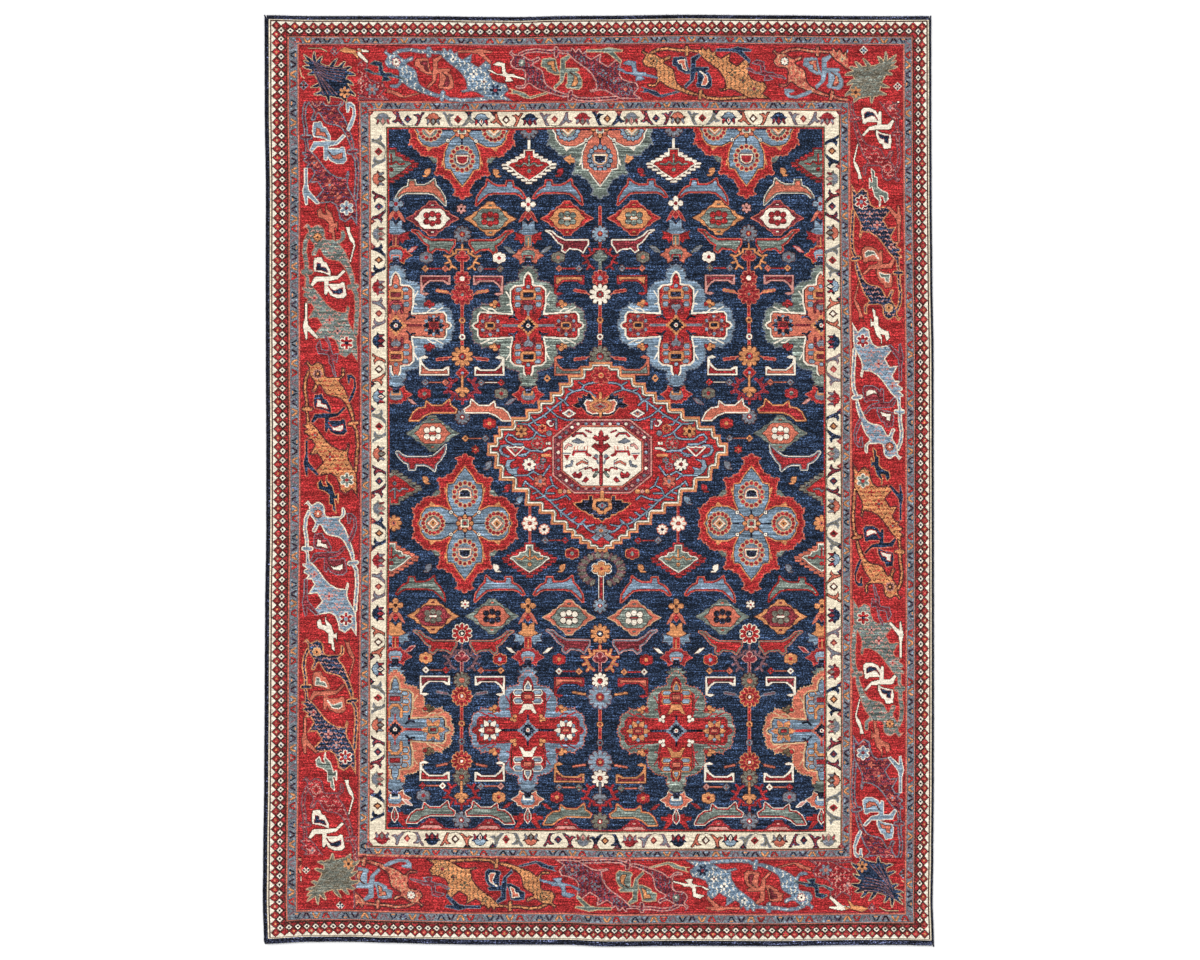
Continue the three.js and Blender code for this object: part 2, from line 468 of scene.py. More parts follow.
for seed, (side, count) in enumerate(zip(four_sides("diamonds"), RED_DIAMONDS)):
    length, width, turn = side[2:]
    red_line, ivory_line = -width * 0.16, width * 0.15
    pitch = (length - 2 * red_line) / count
    step = width * 0.29
    ground = patch(brown, block(-pitch * 0.55, ivory_line, pitch * 0.55, width / 2))
    gore = patch(crimson, [(-pitch * 0.5, width / 2), (0, ivory_line), (pitch * 0.5, width / 2)], -0.4)
    red_diamond = layered(lozenge(pitch * 0.56, step * 1.14, 0, red_line), (brown, 0), (crimson, -0.9))
    ivory_diamond = layered(lozenge(pitch * 0.52, step * 0.97, 0, ivory_line), (brown, 0), (ivory, -1))
    ivory_diamond += dot(night, 0.1, ivory_line, 1.2)
    for shape, half_step, end in ((ground, 0.5, 0), (gore, 0, 1), (red_diamond, 0, 1),
                                  (ivory_diamond, 0.5, 0)):
        for i in range(count + end):
            t = (i + half_step) / count
            place = red_line + (length - 2 * red_line) * t + wander(t, seed)
            knot(shape, *along_side(side, place), turn)
            if shape is red_diamond:
                heart = RED_HEARTS[(i * 7 + seed) % 4]
                knot(dot(heart, 0.1, red_line, 1.2), *along_side(side, place), turn)

# The two bud guards. Small open buds lie on greyed blue, set alternately up and down, five
# yarns in turn and each fifth bud nearly lost in its ground.
BUD_YARNS = [(madder, salmon, brown), (orange, sky, brown), (night, sky, mauve),
             (night, orange, steel), (mauve, steel, steel)]
BUD_PITCH = 9.6


def bud(yarn, inside, rim, width):
    tip = width * 0.24
    petal = [(0.9, -tip), (3.1, tip)]
    motif = line(rim, 2.3, petal) + line(yarn, 1.6, petal) + line(inside, 1.3, [(0, tip), (1.0, tip)])
    between = patch(sky, lozenge(1.2, 1.0, 4.8, -tip * 1.2)) + dot(mauve, 4.8, tip * 1.4, 0.7)
    return both(motif + between)


for name in ("outer buds", "inner buds"):
    place = 0
    for seed, side in enumerate(four_sides(name)):
        length, width, turn = side[2:]
        count = round(length / BUD_PITCH)
        for i in range(count):
            t = (i + 0.5) / count
            x, y = along_side(side, length * t + 0.5 * wander(t, seed))
            knot(bud(*BUD_YARNS[place % len(BUD_YARNS)], width), x, y, turn + 180 * (place % 2))
            place += 1

# The main border. A large curled vine head with a long toothed tail follows the next one round
# the madder ground, each in other yarns, with a knotted stem figure in the bend of its neck, a
# leaf twig on either side and a long-tailed bird behind.
VINE_HEAD = soft([
    (-26, 60), (-22, 64), (-18, 60), (-12, 63), (-6, 59), (-4, 49), (4, 48), (11, 49), (12, 57),
    (15, 56), (15, 49), (10, 44), (15, 37), (20, 25), (25, 9), (23, 2), (19, 13), (11, 26), (-3, 30),
    (-10, 40), (-14, 33), (-18, 34), (-15, 42), (-20, 50), (-21, 58), (-24, 61)])
HEAD_STEM = [(-21, 53), (-24, 46), (-25, 36), (-23, 24), (-23, 13)]
HEAD_COLLAR = [(-26, 16), (-19, 16)]
VINE_TAIL = [
    (-24, 13), (-21, 13), (-20, 4), (-13, -3), (-4, -15), (1, -20), (8, -24), (16, -25), (18, -18),
    (20, -20), (18, -29), (19, -35), (27, -49), (28, -73), (22, -64), (16, -69), (10, -66), (9, -59),
    (6, -52), (1, -49), (-14, -51), (-14, -45), (-7, -37), (-12, -29), (-21, -30), (-15, -20),
    (-18, -15), (-24, -15), (-21, -11), (-26, -8), (-26, -6), (-23, -4), (-27, -1), (-27, 1), (-24, 1)]
TAIL_STEM = [(23, 2), (27, -6), (28, -19), (26, -46)]
TAIL_COLLAR = [(20, 1), (27, 2)]
FIGURE_BUD = [(-15, 30), (-8, 31), (-6, 26), (-3, 25), (1, 17), (1, 12), (-5, 15), (-15, 17), (-16, 22)]
FIGURE_HEART = [(-12, 25), (-9, 24), (-9, 21), (-4, 20), (-2, 16), (-8, 18), (-13, 18)]
FIGURE_STEM = [
    (-15, 11), (8, 12), (14, 18), (16, 17), (8, 9), (-1, 7), (-1, -2), (-3, -7), (-5, -6), (-5, 7),
    (-12, 7), (-17, 2), (-19, 3)]
FIGURE_HORN = [(-1, 4), (10, 4), (13, 6), (15, 5), (17, -7), (14, -10), (7, -10), (1, -7), (-2, -2)]
HORN_HEART = [(-1, 2), (2, -2), (5, -3), (13, 0), (13, -4), (10, -6), (4, -5)]
HOOKED_TWIG = [
    (17, 51), (22, 51), (26, 47), (27, 38), (24, 28), (20, 22), (18, 24), (24, 38), (24, 45),
    (21, 47), (20, 41), (18, 41)]
FORKED_TWIG = [
    (15, 64), (17, 61), (20, 61), (20, 65), (21, 56), (25, 48), (26, 42), (21, 24), (20, 27),
    (24, 43), (20, 48)]
LOWER_TWIG = [
    (-25, -15), (-22, -15), (-22, -31), (-21, -37), (-10, -50), (-13, -51), (-22, -43), (-22, -51),
    (-24, -52), (-27, -38), (-25, -30)]
FLYING_BIRD = [
    (-9, -55), (-12, -58), (-11, -64), (-5, -66), (0, -70), (0, -79), (3, -80), (3, -85), (6, -88),
    (4, -74), (7, -74), (8, -78), (8, -69), (5, -71), (2, -61), (-3, -56), (-3, -51), (-4, -57),
    (-2, -62), (-7, -61)]
PERCHED_BIRD = [
    (-10, -53), (-13, -58), (-11, -65), (-2, -66), (0, -69), (0, -75), (2, -77), (4, -85), (6, -88),
    (3, -74), (3, -70), (7, -74), (8, -66), (3, -67), (1, -61), (0, -55), (-4, -47), (-4, -51),
    (0, -57), (0, -63), (-8, -62)]


def rosette(petals, radius, petal, rim, heart, eye=None):
    """A round flower of separate petals, with a rim and a small heart."""
    motif = dot(rim, 0, 0, radius * 0.62)
    breadth = radius * min(0.50, 3.4 / petals)
    for yarn, extra in ((rim, 0.8), (petal, 0.0)):
        for k in range(petals):
            a = math.radians(90 + 360 * k / petals)
            c, s = radius * math.cos(a), radius * math.sin(a)
            motif += line(yarn, breadth + 2 * extra, [(0.5 * c, 0.5 * s), (0.8 * c, 0.8 * s)])
    motif += dot(heart, 0, 0, radius * 0.30)
    return motif + dot(eye, 0, 0, radius * 0.14) if eye else motif


def cross_flower(size, petal, rim, heart):
    """Four square petals set crosswise round a heart."""
    motif = patch(rim, lozenge(size, size))
    for x, y in lozenge(1, 1):
        motif += dot(petal, x * size * 0.52, y * size * 0.52, size * 0.27)
    return motif + patch(heart, lozenge(size * 0.34, size * 0.34))


def vine(body, rim, marks, eye, flower, figure, figure_rim, hearts, twig, outermost=burgundy):
    """The vine as one motif, with the yarns of its body and of the flecks tied over it."""
    motif = line(rim, 4.0, HEAD_STEM) + line(rim, 4.2, TAIL_STEM)
    motif += line(rim, 5.0, HEAD_COLLAR) + line(rim, 5.0, TAIL_COLLAR)
    motif += patch(rim, VINE_HEAD) + patch(rim, VINE_TAIL)
    motif = rimmed(outermost, motif, 0.7)
    motif += patch(body, VINE_HEAD, -1.1) + patch(body, VINE_TAIL, -1.1)
    motif += line(body, 1.9, HEAD_STEM) + line(body, 1.9, TAIL_STEM)
    motif += line(body, 2.9, HEAD_COLLAR) + line(body, 2.9, TAIL_COLLAR)
    for bloom, x, y in ((rosette(8, 4.0, *eye), -12, 51), (rosette(6, 6.2, *flower), 17, -55),
                        (cross_flower(4.2, marks, body, flower[0]), -15, -10),
                        (rosette(4, 4.2, marks, body, flower[0]), 0, -32),
                        (rosette(4, 3.4, marks, body, flower[2]), 8, -43)):
        motif += shifted(bloom, x, y)
    bud_and_horn = patch(figure, FIGURE_BUD) + patch(figure, FIGURE_HORN)
    motif += rimmed(figure_rim, bud_and_horn, 0.8)
    motif += rimmed(figure_rim, patch(figure, FIGURE_STEM), 0.8) + bud_and_horn
    for outline in (FIGURE_HEART, HORN_HEART):
        motif += ringed(hearts[1], hearts[0], outline, 0.8)
    motif += rimmed(figure_rim, patch(figure, twig, -0.4) + patch(figure, LOWER_TWIG, -0.4), 0.8)
    flecks = (marks, FLECK_SHADE[body])
    return motif, body, flecks if body != burgundy else flecks[::-1]


FLECK_SHADE = {sky: indigo, blue: indigo, teal: steel, burgundy: navy,
               orange: brown, navy: mauve, crimson: burgundy, salmon: burgundy}
LIGHT_BLUE_VINE = vine(blue, steel, ivory, (ivory, crimson, brown),
                       (navy, sky, burgundy), salmon, brown, (burgundy, brown),
                       FORKED_TWIG)
WINE_VINE = vine(burgundy, steel, salmon, (burgundy, pink, salmon),
                 (sky, ivory, burgundy), sky, ivory, (salmon, brown), HOOKED_TWIG)
GREEN_VINE = vine(teal, teal, pink, (orange, brown, brown), (madder, ivory, night),
                  ivory, brown, (navy, burgundy), FORKED_TWIG, salmon)
ORANGE_VINE = vine(orange, brown, madder, (brown, pink, orange),
                   (teal, ivory, madder), navy, salmon, (ivory, madder), HOOKED_TWIG)
BLUE_VINE = vine(sky, cream, pink, (salmon, brown, ivory), (crimson, ivory, sky),
                 burgundy, steel, (ivory, brown), HOOKED_TWIG)
NAVY_VINE = vine(navy, orange, pink, (orange, sand, brown), (madder, ivory, sky),
                 salmon, brown, (teal, ivory), FORKED_TWIG)
FAINT_VINE = vine(crimson, mauve, pink, (madder, pink, burgundy),
                  (steel, burgundy, salmon), ivory, brown, (navy, burgundy), FORKED_TWIG)
ROSE_VINE = vine(burgundy, pink, steel, (teal, burgundy, ivory),
                 (burgundy, steel, salmon), teal, sand, (orange, brown), FORKED_TWIG)
APRICOT_VINE = vine(orange, brown, olive, (orange, olive, brown),
                    (orange, olive, burgundy), navy, steel, (salmon, ivory), FORKED_TWIG)
SALMON_VINE = vine(salmon, brown, sand, (ivory, night, pink),
                   (teal, ivory, madder), sky, steel, (salmon, brown), HOOKED_TWIG)

# Eleven vines fill a long side and a short side. The rug turned half round is the same again, so
# each row ties two: its place, its length, the vine and the bird behind it with its two yarns.
LONG_SIDE = [
    (327.4, 1.0, WINE_VINE, salmon, brown, FLYING_BIRD),
    (192.4, 1.0, GREEN_VINE, burgundy, steel, PERCHED_BIRD),
    (55.4, 1.0, ORANGE_VINE, navy, orange, FLYING_BIRD),
    (-84.6, 1.0, BLUE_VINE, ivory, brown, FLYING_BIRD),
    (-223.6, 1.0, NAVY_VINE, teal, ivory, FLYING_BIRD),
    (-362.6, 1.0, FAINT_VINE)]
SHORT_SIDE = [
    (-278.8, 0.95, FAINT_VINE, navy, teal, PERCHED_BIRD),
    (-155.0, 0.934, LIGHT_BLUE_VINE, ivory, brown, PERCHED_BIRD),
    (-27.2, 0.977, ROSE_VINE, sky, indigo, PERCHED_BIRD),
    (103.4, 0.953, APRICOT_VINE, burgundy, steel, PERCHED_BIRD),
    (235.0, 0.95, SALMON_VINE)]
MAIN, (in_left, in_lower, in_right, in_upper) = FRAMES["main"]
LEFT_X, RIGHT_X = (MAIN[0] + in_left) / 2, (MAIN[2] + in_right) / 2
LOWER_Y, UPPER_Y = (MAIN[1] + in_lower) / 2, (MAIN[3] + in_upper) / 2


def flecks(yarn, other_yarn):
    """Little hooks in staggered rows, two in three of one yarn, over the whole reach of a vine."""
    motif = []
    for row in range(-15, 16):
        for column in range(-5, 7):
            x, y = 4.8 * column + 2.4 * (row % 2), 4.4 * row
            side = 1 if (row + column) % 2 else -1
            motif += line(other_yarn if (2 * row + column) % 3 == 0 else yarn, 0.9,
                          [(x - 1.6, y - side), (x, y + side), (x + 1.6, y)])
    return motif


def on_both_halves(motif, place, length, long_side, over=None):
    if long_side:
        knot(motif, LEFT_X, place, 0, within=MAIN, over=over)
        knot(motif, RIGHT_X, -place, 180, size=(0.92, 1.0), within=MAIN, over=over)
    else:
        knot(motif, place, UPPER_Y, 90, True, (0.95, length), MAIN, over)
        knot(motif, -place, LOWER_Y, 270, True, (0.93, length), MAIN, over)


for rows, long_side in ((SHORT_SIDE, False), (LONG_SIDE, True)):
    for place, length, (motif, body, marks), *_ in rows:
        on_both_halves(motif, place, length, long_side)
        on_both_halves(flecks(*marks), place, length, long_side, body)
for rows, long_side in ((LONG_SIDE, True), (SHORT_SIDE, False)):
    for place, length, _, yarn, rim, outline in rows[:-1]:
        on_both_halves(ringed(rim, yarn, outline, 0.8), place, length, long_side)

# The corners of the main border. Each has the madder ground again and one large palmette with
# pointed leaves all round it, navy at two corners and, mirrored, grey green at the other two.
PALMETTE_BODY = soft([
    (-17, 11), (-12, 12), (-3, 8), (6, 7), (15, 6), (20, 0), (17, -7), (22, -16), (17, -25), (2, -23),
    (-7, -22), (-9, -12), (-14, -2), (-18, 5)])
LEAF_BASES_AND_TIPS = [
    (-16, 11, -25, 19), (-14, 12, -14, 22), (-10, 11, -6, 17), (3, 7, 9, 15), (12, 6, 17, 12),
    (17, 4, 23, 6), (19, 0, 27, -2), (18, -8, 25, -12), (20, -18, 27, -23), (14, -24, 18, -29),
    (-1, -22, 0, -30), (-7, -19, -15, -21), (-9, -11, -18, -14), (-15, 1, -21, -1), (-17, 6, -26, 7),
    (-17, 9, -25, 13)]
VEINS = [[(-17 + 1.5 * k, 13 - 2.6 * k), (-3, 6.5 - 2.6 * k), (17 - k, 4.5 - 3.2 * k)]
         for k in range(5)]
VEINS += [[(-15 + 2.6 * k, 5 - 3 * k), (-11 + 4 * k, -7 - 2 * k), (-5 + 4.5 * k, -21)]
          for k in range(4)]
CURLED_LEAF = [(10, 23), (16, 26), (24, 24), (33, 21), (32, 24), (27, 22), (30, 14), (24, 20), (16, 21)]


def pointed_leaf(base_x, base_y, tip_x, tip_y):
    """A leaf four squares broad at its foot that bends a little to its tip."""
    length = math.hypot(tip_x - base_x, tip_y - base_y)
    leaf = soft([(-2, 2), (0.55 * length, 2), (length, 0), (0.45 * length, -1.2), (-2, -2)])
    turn = math.degrees(math.atan2(tip_y - base_y, tip_x - base_x))
    return [(x + base_x, y + base_y) for x, y in turned(patch(navy, leaf), turn)[0][1]]


def corner_palmette(body, vein):
    outlines = [PALMETTE_BODY] + [pointed_leaf(*ends) for ends in LEAF_BASES_AND_TIPS]
    motif = []
    for yarn, out in ((burgundy, 0.9), (sand, 0.3), (body, -0.4)):
        for outline in outlines:
            motif += patch(yarn, outline, out)
    for curve in VEINS if vein else []:
        motif += line(vein, 0.9, soft(curve, False))
    return motif + shifted(rosette(6, 5.4, orange, body, brown), 16, -19)


for navy_x, green_x, corner_y, turn, half_width in (
        (LEFT_X, RIGHT_X, UPPER_Y, 0, 29.0), (RIGHT_X, LEFT_X, LOWER_Y, 180, 26.0)):
    ground = patch(madder, block(-half_width, -28, half_width, 27))
    motif = ground + corner_palmette(navy, mauve)
    motif += inked(line(sand, 1.0, [(-20, 25), (-8, 25), (-2, 22)]))
    motif += shifted(cross_flower(4.4, crimson, steel, pink), 6, 22)
    motif += inked(patch(orange, CURLED_LEAF), 0.6)
    motif += line(sand, 1.0, [(-29, 5), (-27, -3), (-24, -5)])
    motif += shifted(cross_flower(4.8, brown, sky, crimson), -25, -12)
    knot(motif, navy_x, corner_y, turn, within=MAIN)
    motif = ground + shifted(flipped(corner_palmette(moss, None)), -5, 0)
    motif += shifted(cross_flower(4.2, night, ivory, sky), -13, 23)
    motif += shifted(cross_flower(4.2, night, ivory, pink), 21, -13)
    knot(motif, green_x, corner_y, turn, within=MAIN)
    knot(flecks(teal, olive), green_x, corner_y, turn, size=(1.3, 0.8), within=MAIN, over=moss)

# The cream guard. Small palmettes stand with their domes to the outer edge, and between two of
# them a little flower lies in a pair of forked leaves. Five yarns follow each other all round.
PALMETTE = mirrored_outline([
    (0, 6.4), (1.8, 4.2), (2.8, 2.8), (4.6, 5.6), (5.8, 4.6), (5.3, 0.9), (7.4, -1.4), (5.0, -2.2),
    (3.6, -4.8), (0, -6.2)])
DOME = mirrored_outline([(0, -1.8), (2.4, 0.0), (4.6, -1.4), (2.9, -4.0), (0, -5.2)])
CLAW = [(3.3, 0.8), (4.6, 0.2), (4.9, 4.4), (3.4, 2.2)]
PALMETTE_YARNS = [(moss, steel, burgundy, pink), (brown, salmon, steel, moss),
                  (night, sky, crimson, ivory), (night, navy, burgundy, crimson),
                  (burgundy, crimson, steel, moss)]
HALF_BUDS = [(burgundy, salmon, -10.5, 10.5), None, (night, burgundy, -10.5, 10.5), None,
             (burgundy, mauve, -10.5)]
SPLIT_LEAF = [
    (-12.2, -6.4), (-10.4, -6.4), (-8.6, -1.0), (-6.6, 2.4), (-3.4, 6.2), (-5.6, 6.0), (-9.0, 3.2),
    (-11.0, 1.6), (-12.6, 3.6), (-16.2, 2.4), (-13.2, 1.2), (-11.6, -1.6)]
FORKED_LEAF = [
    (6.4, 6.2), (9.0, 6.2), (11.0, 2.6), (13.0, -2.8), (15.6, -6.4), (13.6, -6.4), (11.4, -2.8),
    (9.6, -5.0), (5.4, -4.4), (8.2, -3.0), (9.4, 0.0), (8.6, 3.6)]
LEAF_YARNS = [(burgundy, night), (moss, steel), (salmon, brown), (steel, mauve),
              (night, navy)]
FLOWER_YARNS = [(navy, burgundy, 3.6), (crimson, brown, 3.6), (brown, ivory, 3.8),
                (burgundy, salmon, 3.2), (brown, orange, 3.6)]
END_GAP = 4.7


def small_palmette(rim, dome, claw, heart):
    motif = patch(rim, PALMETTE) + patch(dome, DOME, 0.2) + both(patch(claw, CLAW, 0.3))
    return motif + patch(heart, lozenge(1.5, 3.2, 0, 2.0)) + line(claw, 0.9, [(0, 0.4), (0, 2.6)])


def half_buds(rim, heart, *places):
    """Buds that show only by half, along the outer edge."""
    motif = []
    for x in places:
        motif += patch(rim, [(x - 3.4, -7.2), (x + 3.4, -7.2), (x, -2.6)]) + dot(heart, x, -5.8, 0.9)
    return motif


def leaf_pair(yarn, rim):
    motif = patch(rim, SPLIT_LEAF, 0.7) + patch(rim, FORKED_LEAF, 0.7)
    motif += patch(yarn, SPLIT_LEAF, -0.3) + patch(yarn, FORKED_LEAF, -0.3)
    return motif + line(moss, 0.8, [(-5, 5.6), (0, 7.0), (7, 5.6)])


for seed, side in enumerate(four_sides("flowers")):
    length, _, turn = side[2:]
    level = seed % 2 == 0
    count, first_kind, sideways = (9, 0, 0.9) if level else (13, 9, 0)
    pitch = (length - 2 * END_GAP) / count
    for i in range(count + 1):
        kind = (i + first_kind) % 5
        place = END_GAP + pitch * i + wander(i / count, seed)
        if level or 0 < i < count:
            motif = small_palmette(*PALMETTE_YARNS[kind]) + half_buds(*(HALF_BUDS[kind] or (0, 0)))
            knot(motif, *along_side(side, place), turn, size=(1.2, 1.1))
        if i < count:
            x, y = along_side(side, place + pitch / 2)
            knot(leaf_pair(*LEAF_YARNS[kind]), x + sideways, y, turn, flip=kind in (0, 2))
            rim, heart, size = FLOWER_YARNS[kind]
            motif = patch(rim, lozenge(size * 1.15, size * 1.25))
            knot(motif + patch(heart, lozenge(size * 0.6, size * 0.65)), x, y, turn)

# The field. Its motifs are charted on whole squares and set out in a repeat about four
# hundred squares long, each pair the same on both sides of the middle, round one large medallion.
EACH_QUARTER = ((1, 1), (-1, 1), (1, -1), (-1, -1))


def four_quarters(quarter):
    """A closed outline from its upper right quarter, listed from the top down to the right."""
    return mirrored_outline(quarter + [(x, -y) for x, y in reversed(quarter)])


def in_each_quarter(motif):
    quarters = []
    for across, up in EACH_QUARTER:
        quarters += reshaped(motif, lambda x, y: (x * across, y * up))
    return quarters


def upside_down(motif):
    return flipped(turned(motif, 180))


def serrated(outline, tooth=1.7, depth=0.8):
    """The same outline with small saw teeth all along it."""
    path = np.array(outline + outline[:1], dtype=float)
    place = np.concatenate([[0.0], np.cumsum(np.hypot(*np.diff(path, axis=0).T))])
    count = 2 * round(place[-1] / tooth / 2)
    evenly = np.arange(count) * place[-1] / count
    points = np.column_stack([np.interp(evenly, place, side) for side in path.T])
    ahead = np.roll(points, -1, axis=0) - np.roll(points, 1, axis=0)
    outwards = np.column_stack([-ahead[:, 1], ahead[:, 0]])
    outwards = outwards / np.maximum(np.hypot(*ahead.T), 0.1)[:, None]
    teeth = points + outwards * np.where(np.arange(count) % 2, depth, -depth)[:, None]
    return [tuple(point) for point in teeth.tolist()]


def beads(count, radius, size, yarn, rim, oval=1.0):
    """A ring of round petals, each with its rim."""
    ring = []
    for yarn_now, extra in ((rim, 0.8), (yarn, 0.0)):
        for k in range(count):
            a = 2 * math.pi * (k + 0.5) / count
            ring += dot(yarn_now, radius * math.cos(a), oval * radius * math.sin(a), size + extra)
    return ring


SHIELDS = serrated(four_quarters([
    (0, 70), (3, 66), (9, 66), (6, 61), (13, 49), (17, 49), (19, 45), (28, 45), (25, 40), (24, 28),
    (31, 26), (40, 26), (45, 19), (49, 18), (49, 14), (53, 15), (50, 8), (50, 6), (53, 0)]), 2.4, 0.6)
SHIELD_LINE = four_quarters([
    (0, 58), (8, 48), (12, 41), (18, 40), (19, 30), (18, 22), (14, 13), (18, 15), (24, 18), (34, 18),
    (40, 16), (45, 9), (45, 5), (48, 0)])
CUP = [(-6, 3), (6, 3), (5, -3), (2, -5), (-2, -5), (-5, -3)]
UNDER_CUP = [(-9, 6), (9, 6), (9, -3), (5, -8), (-5, -8), (-9, -3)]


def square(yarn, half):
    return patch(yarn, block(-half, -half, half, half))


def shield_palmette(body, rim, surround, edge, petal, petal_rim, cup, leaf, heart=night):
    motif = in_each_quarter(inked(patch(leaf, [(23, 25), (23, 33), (29, 33), (34, 26)])))
    motif += ringed(edge, surround, SHIELDS, 0.9)
    motif += layered(SHIELD_LINE, (rim, 0), (night, -1.1), (body, -1.8))
    motif += in_each_quarter(
        rimmed(night, line(rim, 1.2, [(5, 4), (13, 11)]), 0.5)
        + rimmed(night, dot(ivory, 14, 11, 1.8), 0.8) + dot(night, 14, 11, 0.7)
        + patch(rim, [(18, 34), (21, 37), (20, 30)]) + patch(rim, [(29, 18), (34, 22), (36, 18)]))
    for end in ((0, 17), (0, -17), (20, 0), (-20, 0)):
        motif += line(night, 1.8, [(0, 0), end])
    motif += square(brown, 7.4) + square(orange, 6.8) + square(brown, 4.9) + square(cream, 4.4)
    motif += beads(4, 6.6, 2.0, salmon, brown) + turned(beads(4, 6.6, 2.0, orange, brown), 45)
    motif += square(cream, 4) + square(teal, 3) + dot(crimson, 0, 0, 2.0)
    shield = patch(steel, UNDER_CUP) + beads(14, 10.8, 1.9, petal, petal_rim, 1.06)
    shield += rimmed(cup, rimmed(cream, patch(heart, CUP, -0.4)))
    motif += shifted(shield, 0, -29) + shifted(turned(shield, 180), 0, 29)
    lobe = beads(15, 9.8, 1.9, petal, petal_rim) + dot(teal, 0, 0, 7.2)
    for yarn, size in ((salmon, 6.6), (cream, 5.6), (orange, 4.0)):
        lobe += patch(yarn, lozenge(size, size))
    lobe += dot(brown, 0, 0, 1.2)
    return motif + shifted(lobe, 32, 0) + shifted(lobe, -32, 0)


CROSS = four_quarters([
    (0, 54), (3, 51), (5, 46), (5, 41), (14, 40), (18, 36), (18, 22), (16, 12), (31, 13), (48, 14),
    (51, 10), (51, 4), (54, 3), (56, 0)])
CROSS_LEAVES = serrated(four_quarters([
    (0, 60), (6, 55), (10, 51), (8, 46), (13, 44), (20, 43), (24, 39), (28, 34), (29, 26), (27, 18),
    (33, 18), (37, 23), (42, 20), (46, 23), (48, 18), (53, 17), (56, 12), (55, 7), (58, 4), (58, 0)]))
THORNS = [[(18, 27), (20, 31), (22, 34)], [(17, 18), (18, 22), (21, 21)],
          [(32, 14), (36, 17), (40, 17)], [(39, 14), (43, 16), (47, 18)]]
FOOT = mirrored_outline([(0, 26.5), (4.5, 26.5), (6.5, 21), (8.8, 16.5), (5.5, 17.5), (3, 21), (0, 21)])
TIP = mirrored_outline([(0, 50), (3.6, 44), (3.8, 39.5), (0, 39.5)])
BLADE = [(0, 2), (3.1, 7), (0, 11.6), (-3.1, 7)]


def round_ring(half_width, half_height, band, yarn, heart, y=0):
    """An oblong ring with cut corners, open in the middle."""
    oblong = four_quarters([(0, half_height), (half_width - 2, half_height),
                            (half_width, half_height - 1.5), (half_width, 0)])
    layers = (brown, 0.6), (yarn, 0), (brown, -band), (heart, -band - 0.6)
    return shifted(layered(oblong, *layers), 0, y)


def plus_cross(body, rim, leaves, edge, ring=orange, heart=night, loop=salmon, cradle=burgundy,
               blade=burgundy, blade_rim=salmon, eye=orange, bead=orange, stem=steel,
               bud=orange, corner=None):
    """A broad cross in a serrated leaf, a ringed flower in each upright arm and a star in each
    level one."""
    motif = ringed(edge, leaves, CROSS_LEAVES, 0.6)
    motif += layered(CROSS, (rim, 0.4), (brown, -1.2), (body, -2.0))
    quarter = []
    for thorn in THORNS:
        quarter += line(rim, 1.3, thorn)
    quarter += inked(dot(bud, 33, 23, 2.4) + dot(bud, 37, 21, 1.8) + dot(bud, 34, 19, 1.4)
                     + dot(madder, 30, 21, 1.8), 0.6)
    if corner:
        side_loops = ((9.4, 29.6, 3.9, 1.8), (9.4, 37.8, 3.9, 1.8))
        quarter += inked(dot(corner, 13, 14, 1.8) + dot(corner, 16, 11, 1.8) + dot(corner, 13, 10, 1.6))
        arm = inked(patch(cradle, FOOT)) + inked(patch(loop, TIP)) + inked(patch(sky, TIP, -1.7))
        arm += round_ring(6.2, 4.4, 1.9, ring, heart, 33.7)
    else:
        side_loops = ((10.5, 21, 2.8, 2.4), (10, 28, 3.4, 2.0), (9.5, 36, 3.0, 2.0))
        quarter += line(night, 2.2, [(11, 6), (14, 9), (14, 14)]) + line(night, 2.2, [(14, 9), (19, 8)])
        quarter += dot(stem, 14, 11, 0.9)
        arm = inked(line(cradle, 2.6, [(-6, 13), (-6, 20), (-3, 24), (3, 24), (6, 20), (6, 13)]), 0.4)
        arm += inked(both(dot(steel, -2.2, 18.5, 2.5)) + patch(steel, [(-3, 17), (3, 17), (0, 12)]), 0.4)
        arm += round_ring(7.6, 4.8, 2.2, ring, heart, 31) + inked(dot(sky, 0, 39, 1.8), 0.6)
    for x, y, across, along in side_loops:
        outline = four_quarters([(0, along), (across - 1, along), (across, 0)])
        quarter += shifted(rimmed(loop, inked(patch(sky, outline), 0.6), 0.9), x, y)
    arm += line(stem, 1.6, [(0, 15), (0, 8)])
    motif += in_each_quarter(quarter) + arm + turned(arm, 180) + line(stem, 2.4, [(-26, 0), (26, 0)])
    star = patch(body, lozenge(10, 11))
    for k in range(6):
        star += turned(ringed(blade_rim, blade, BLADE, 0.6), 60 * k + 30)
        star += turned(inked(dot(sky, 0, 8.8, 1.6)), 60 * k)
    star += round_ring(5.0, 3.6, 1.6, eye, heart)
    motif += shifted(star, 38, 0) + shifted(star, -38, 0)
    motif += patch(body, lozenge(10, 10)) + patch(night, lozenge(9.4, 9.4))
    for k in range(4):
        for step in range(4):
            along = 2.15 * step
            motif += turned(dot(bead, 8.6 - along, along, 1.25 if step else 1.8), 90 * k)
    return motif + patch(night, lozenge(5, 5)) + dot(ivory, 0, 0, 2.0) + dot(madder, 0, 0, 1.0)


TOOTHED = mirrored_outline([
    (0, 16), (6, 16), (6, 9), (12, 8), (13, 5), (19, 4), (24, -1), (18, -4), (14, -8), (8, -12), (0, -17)])


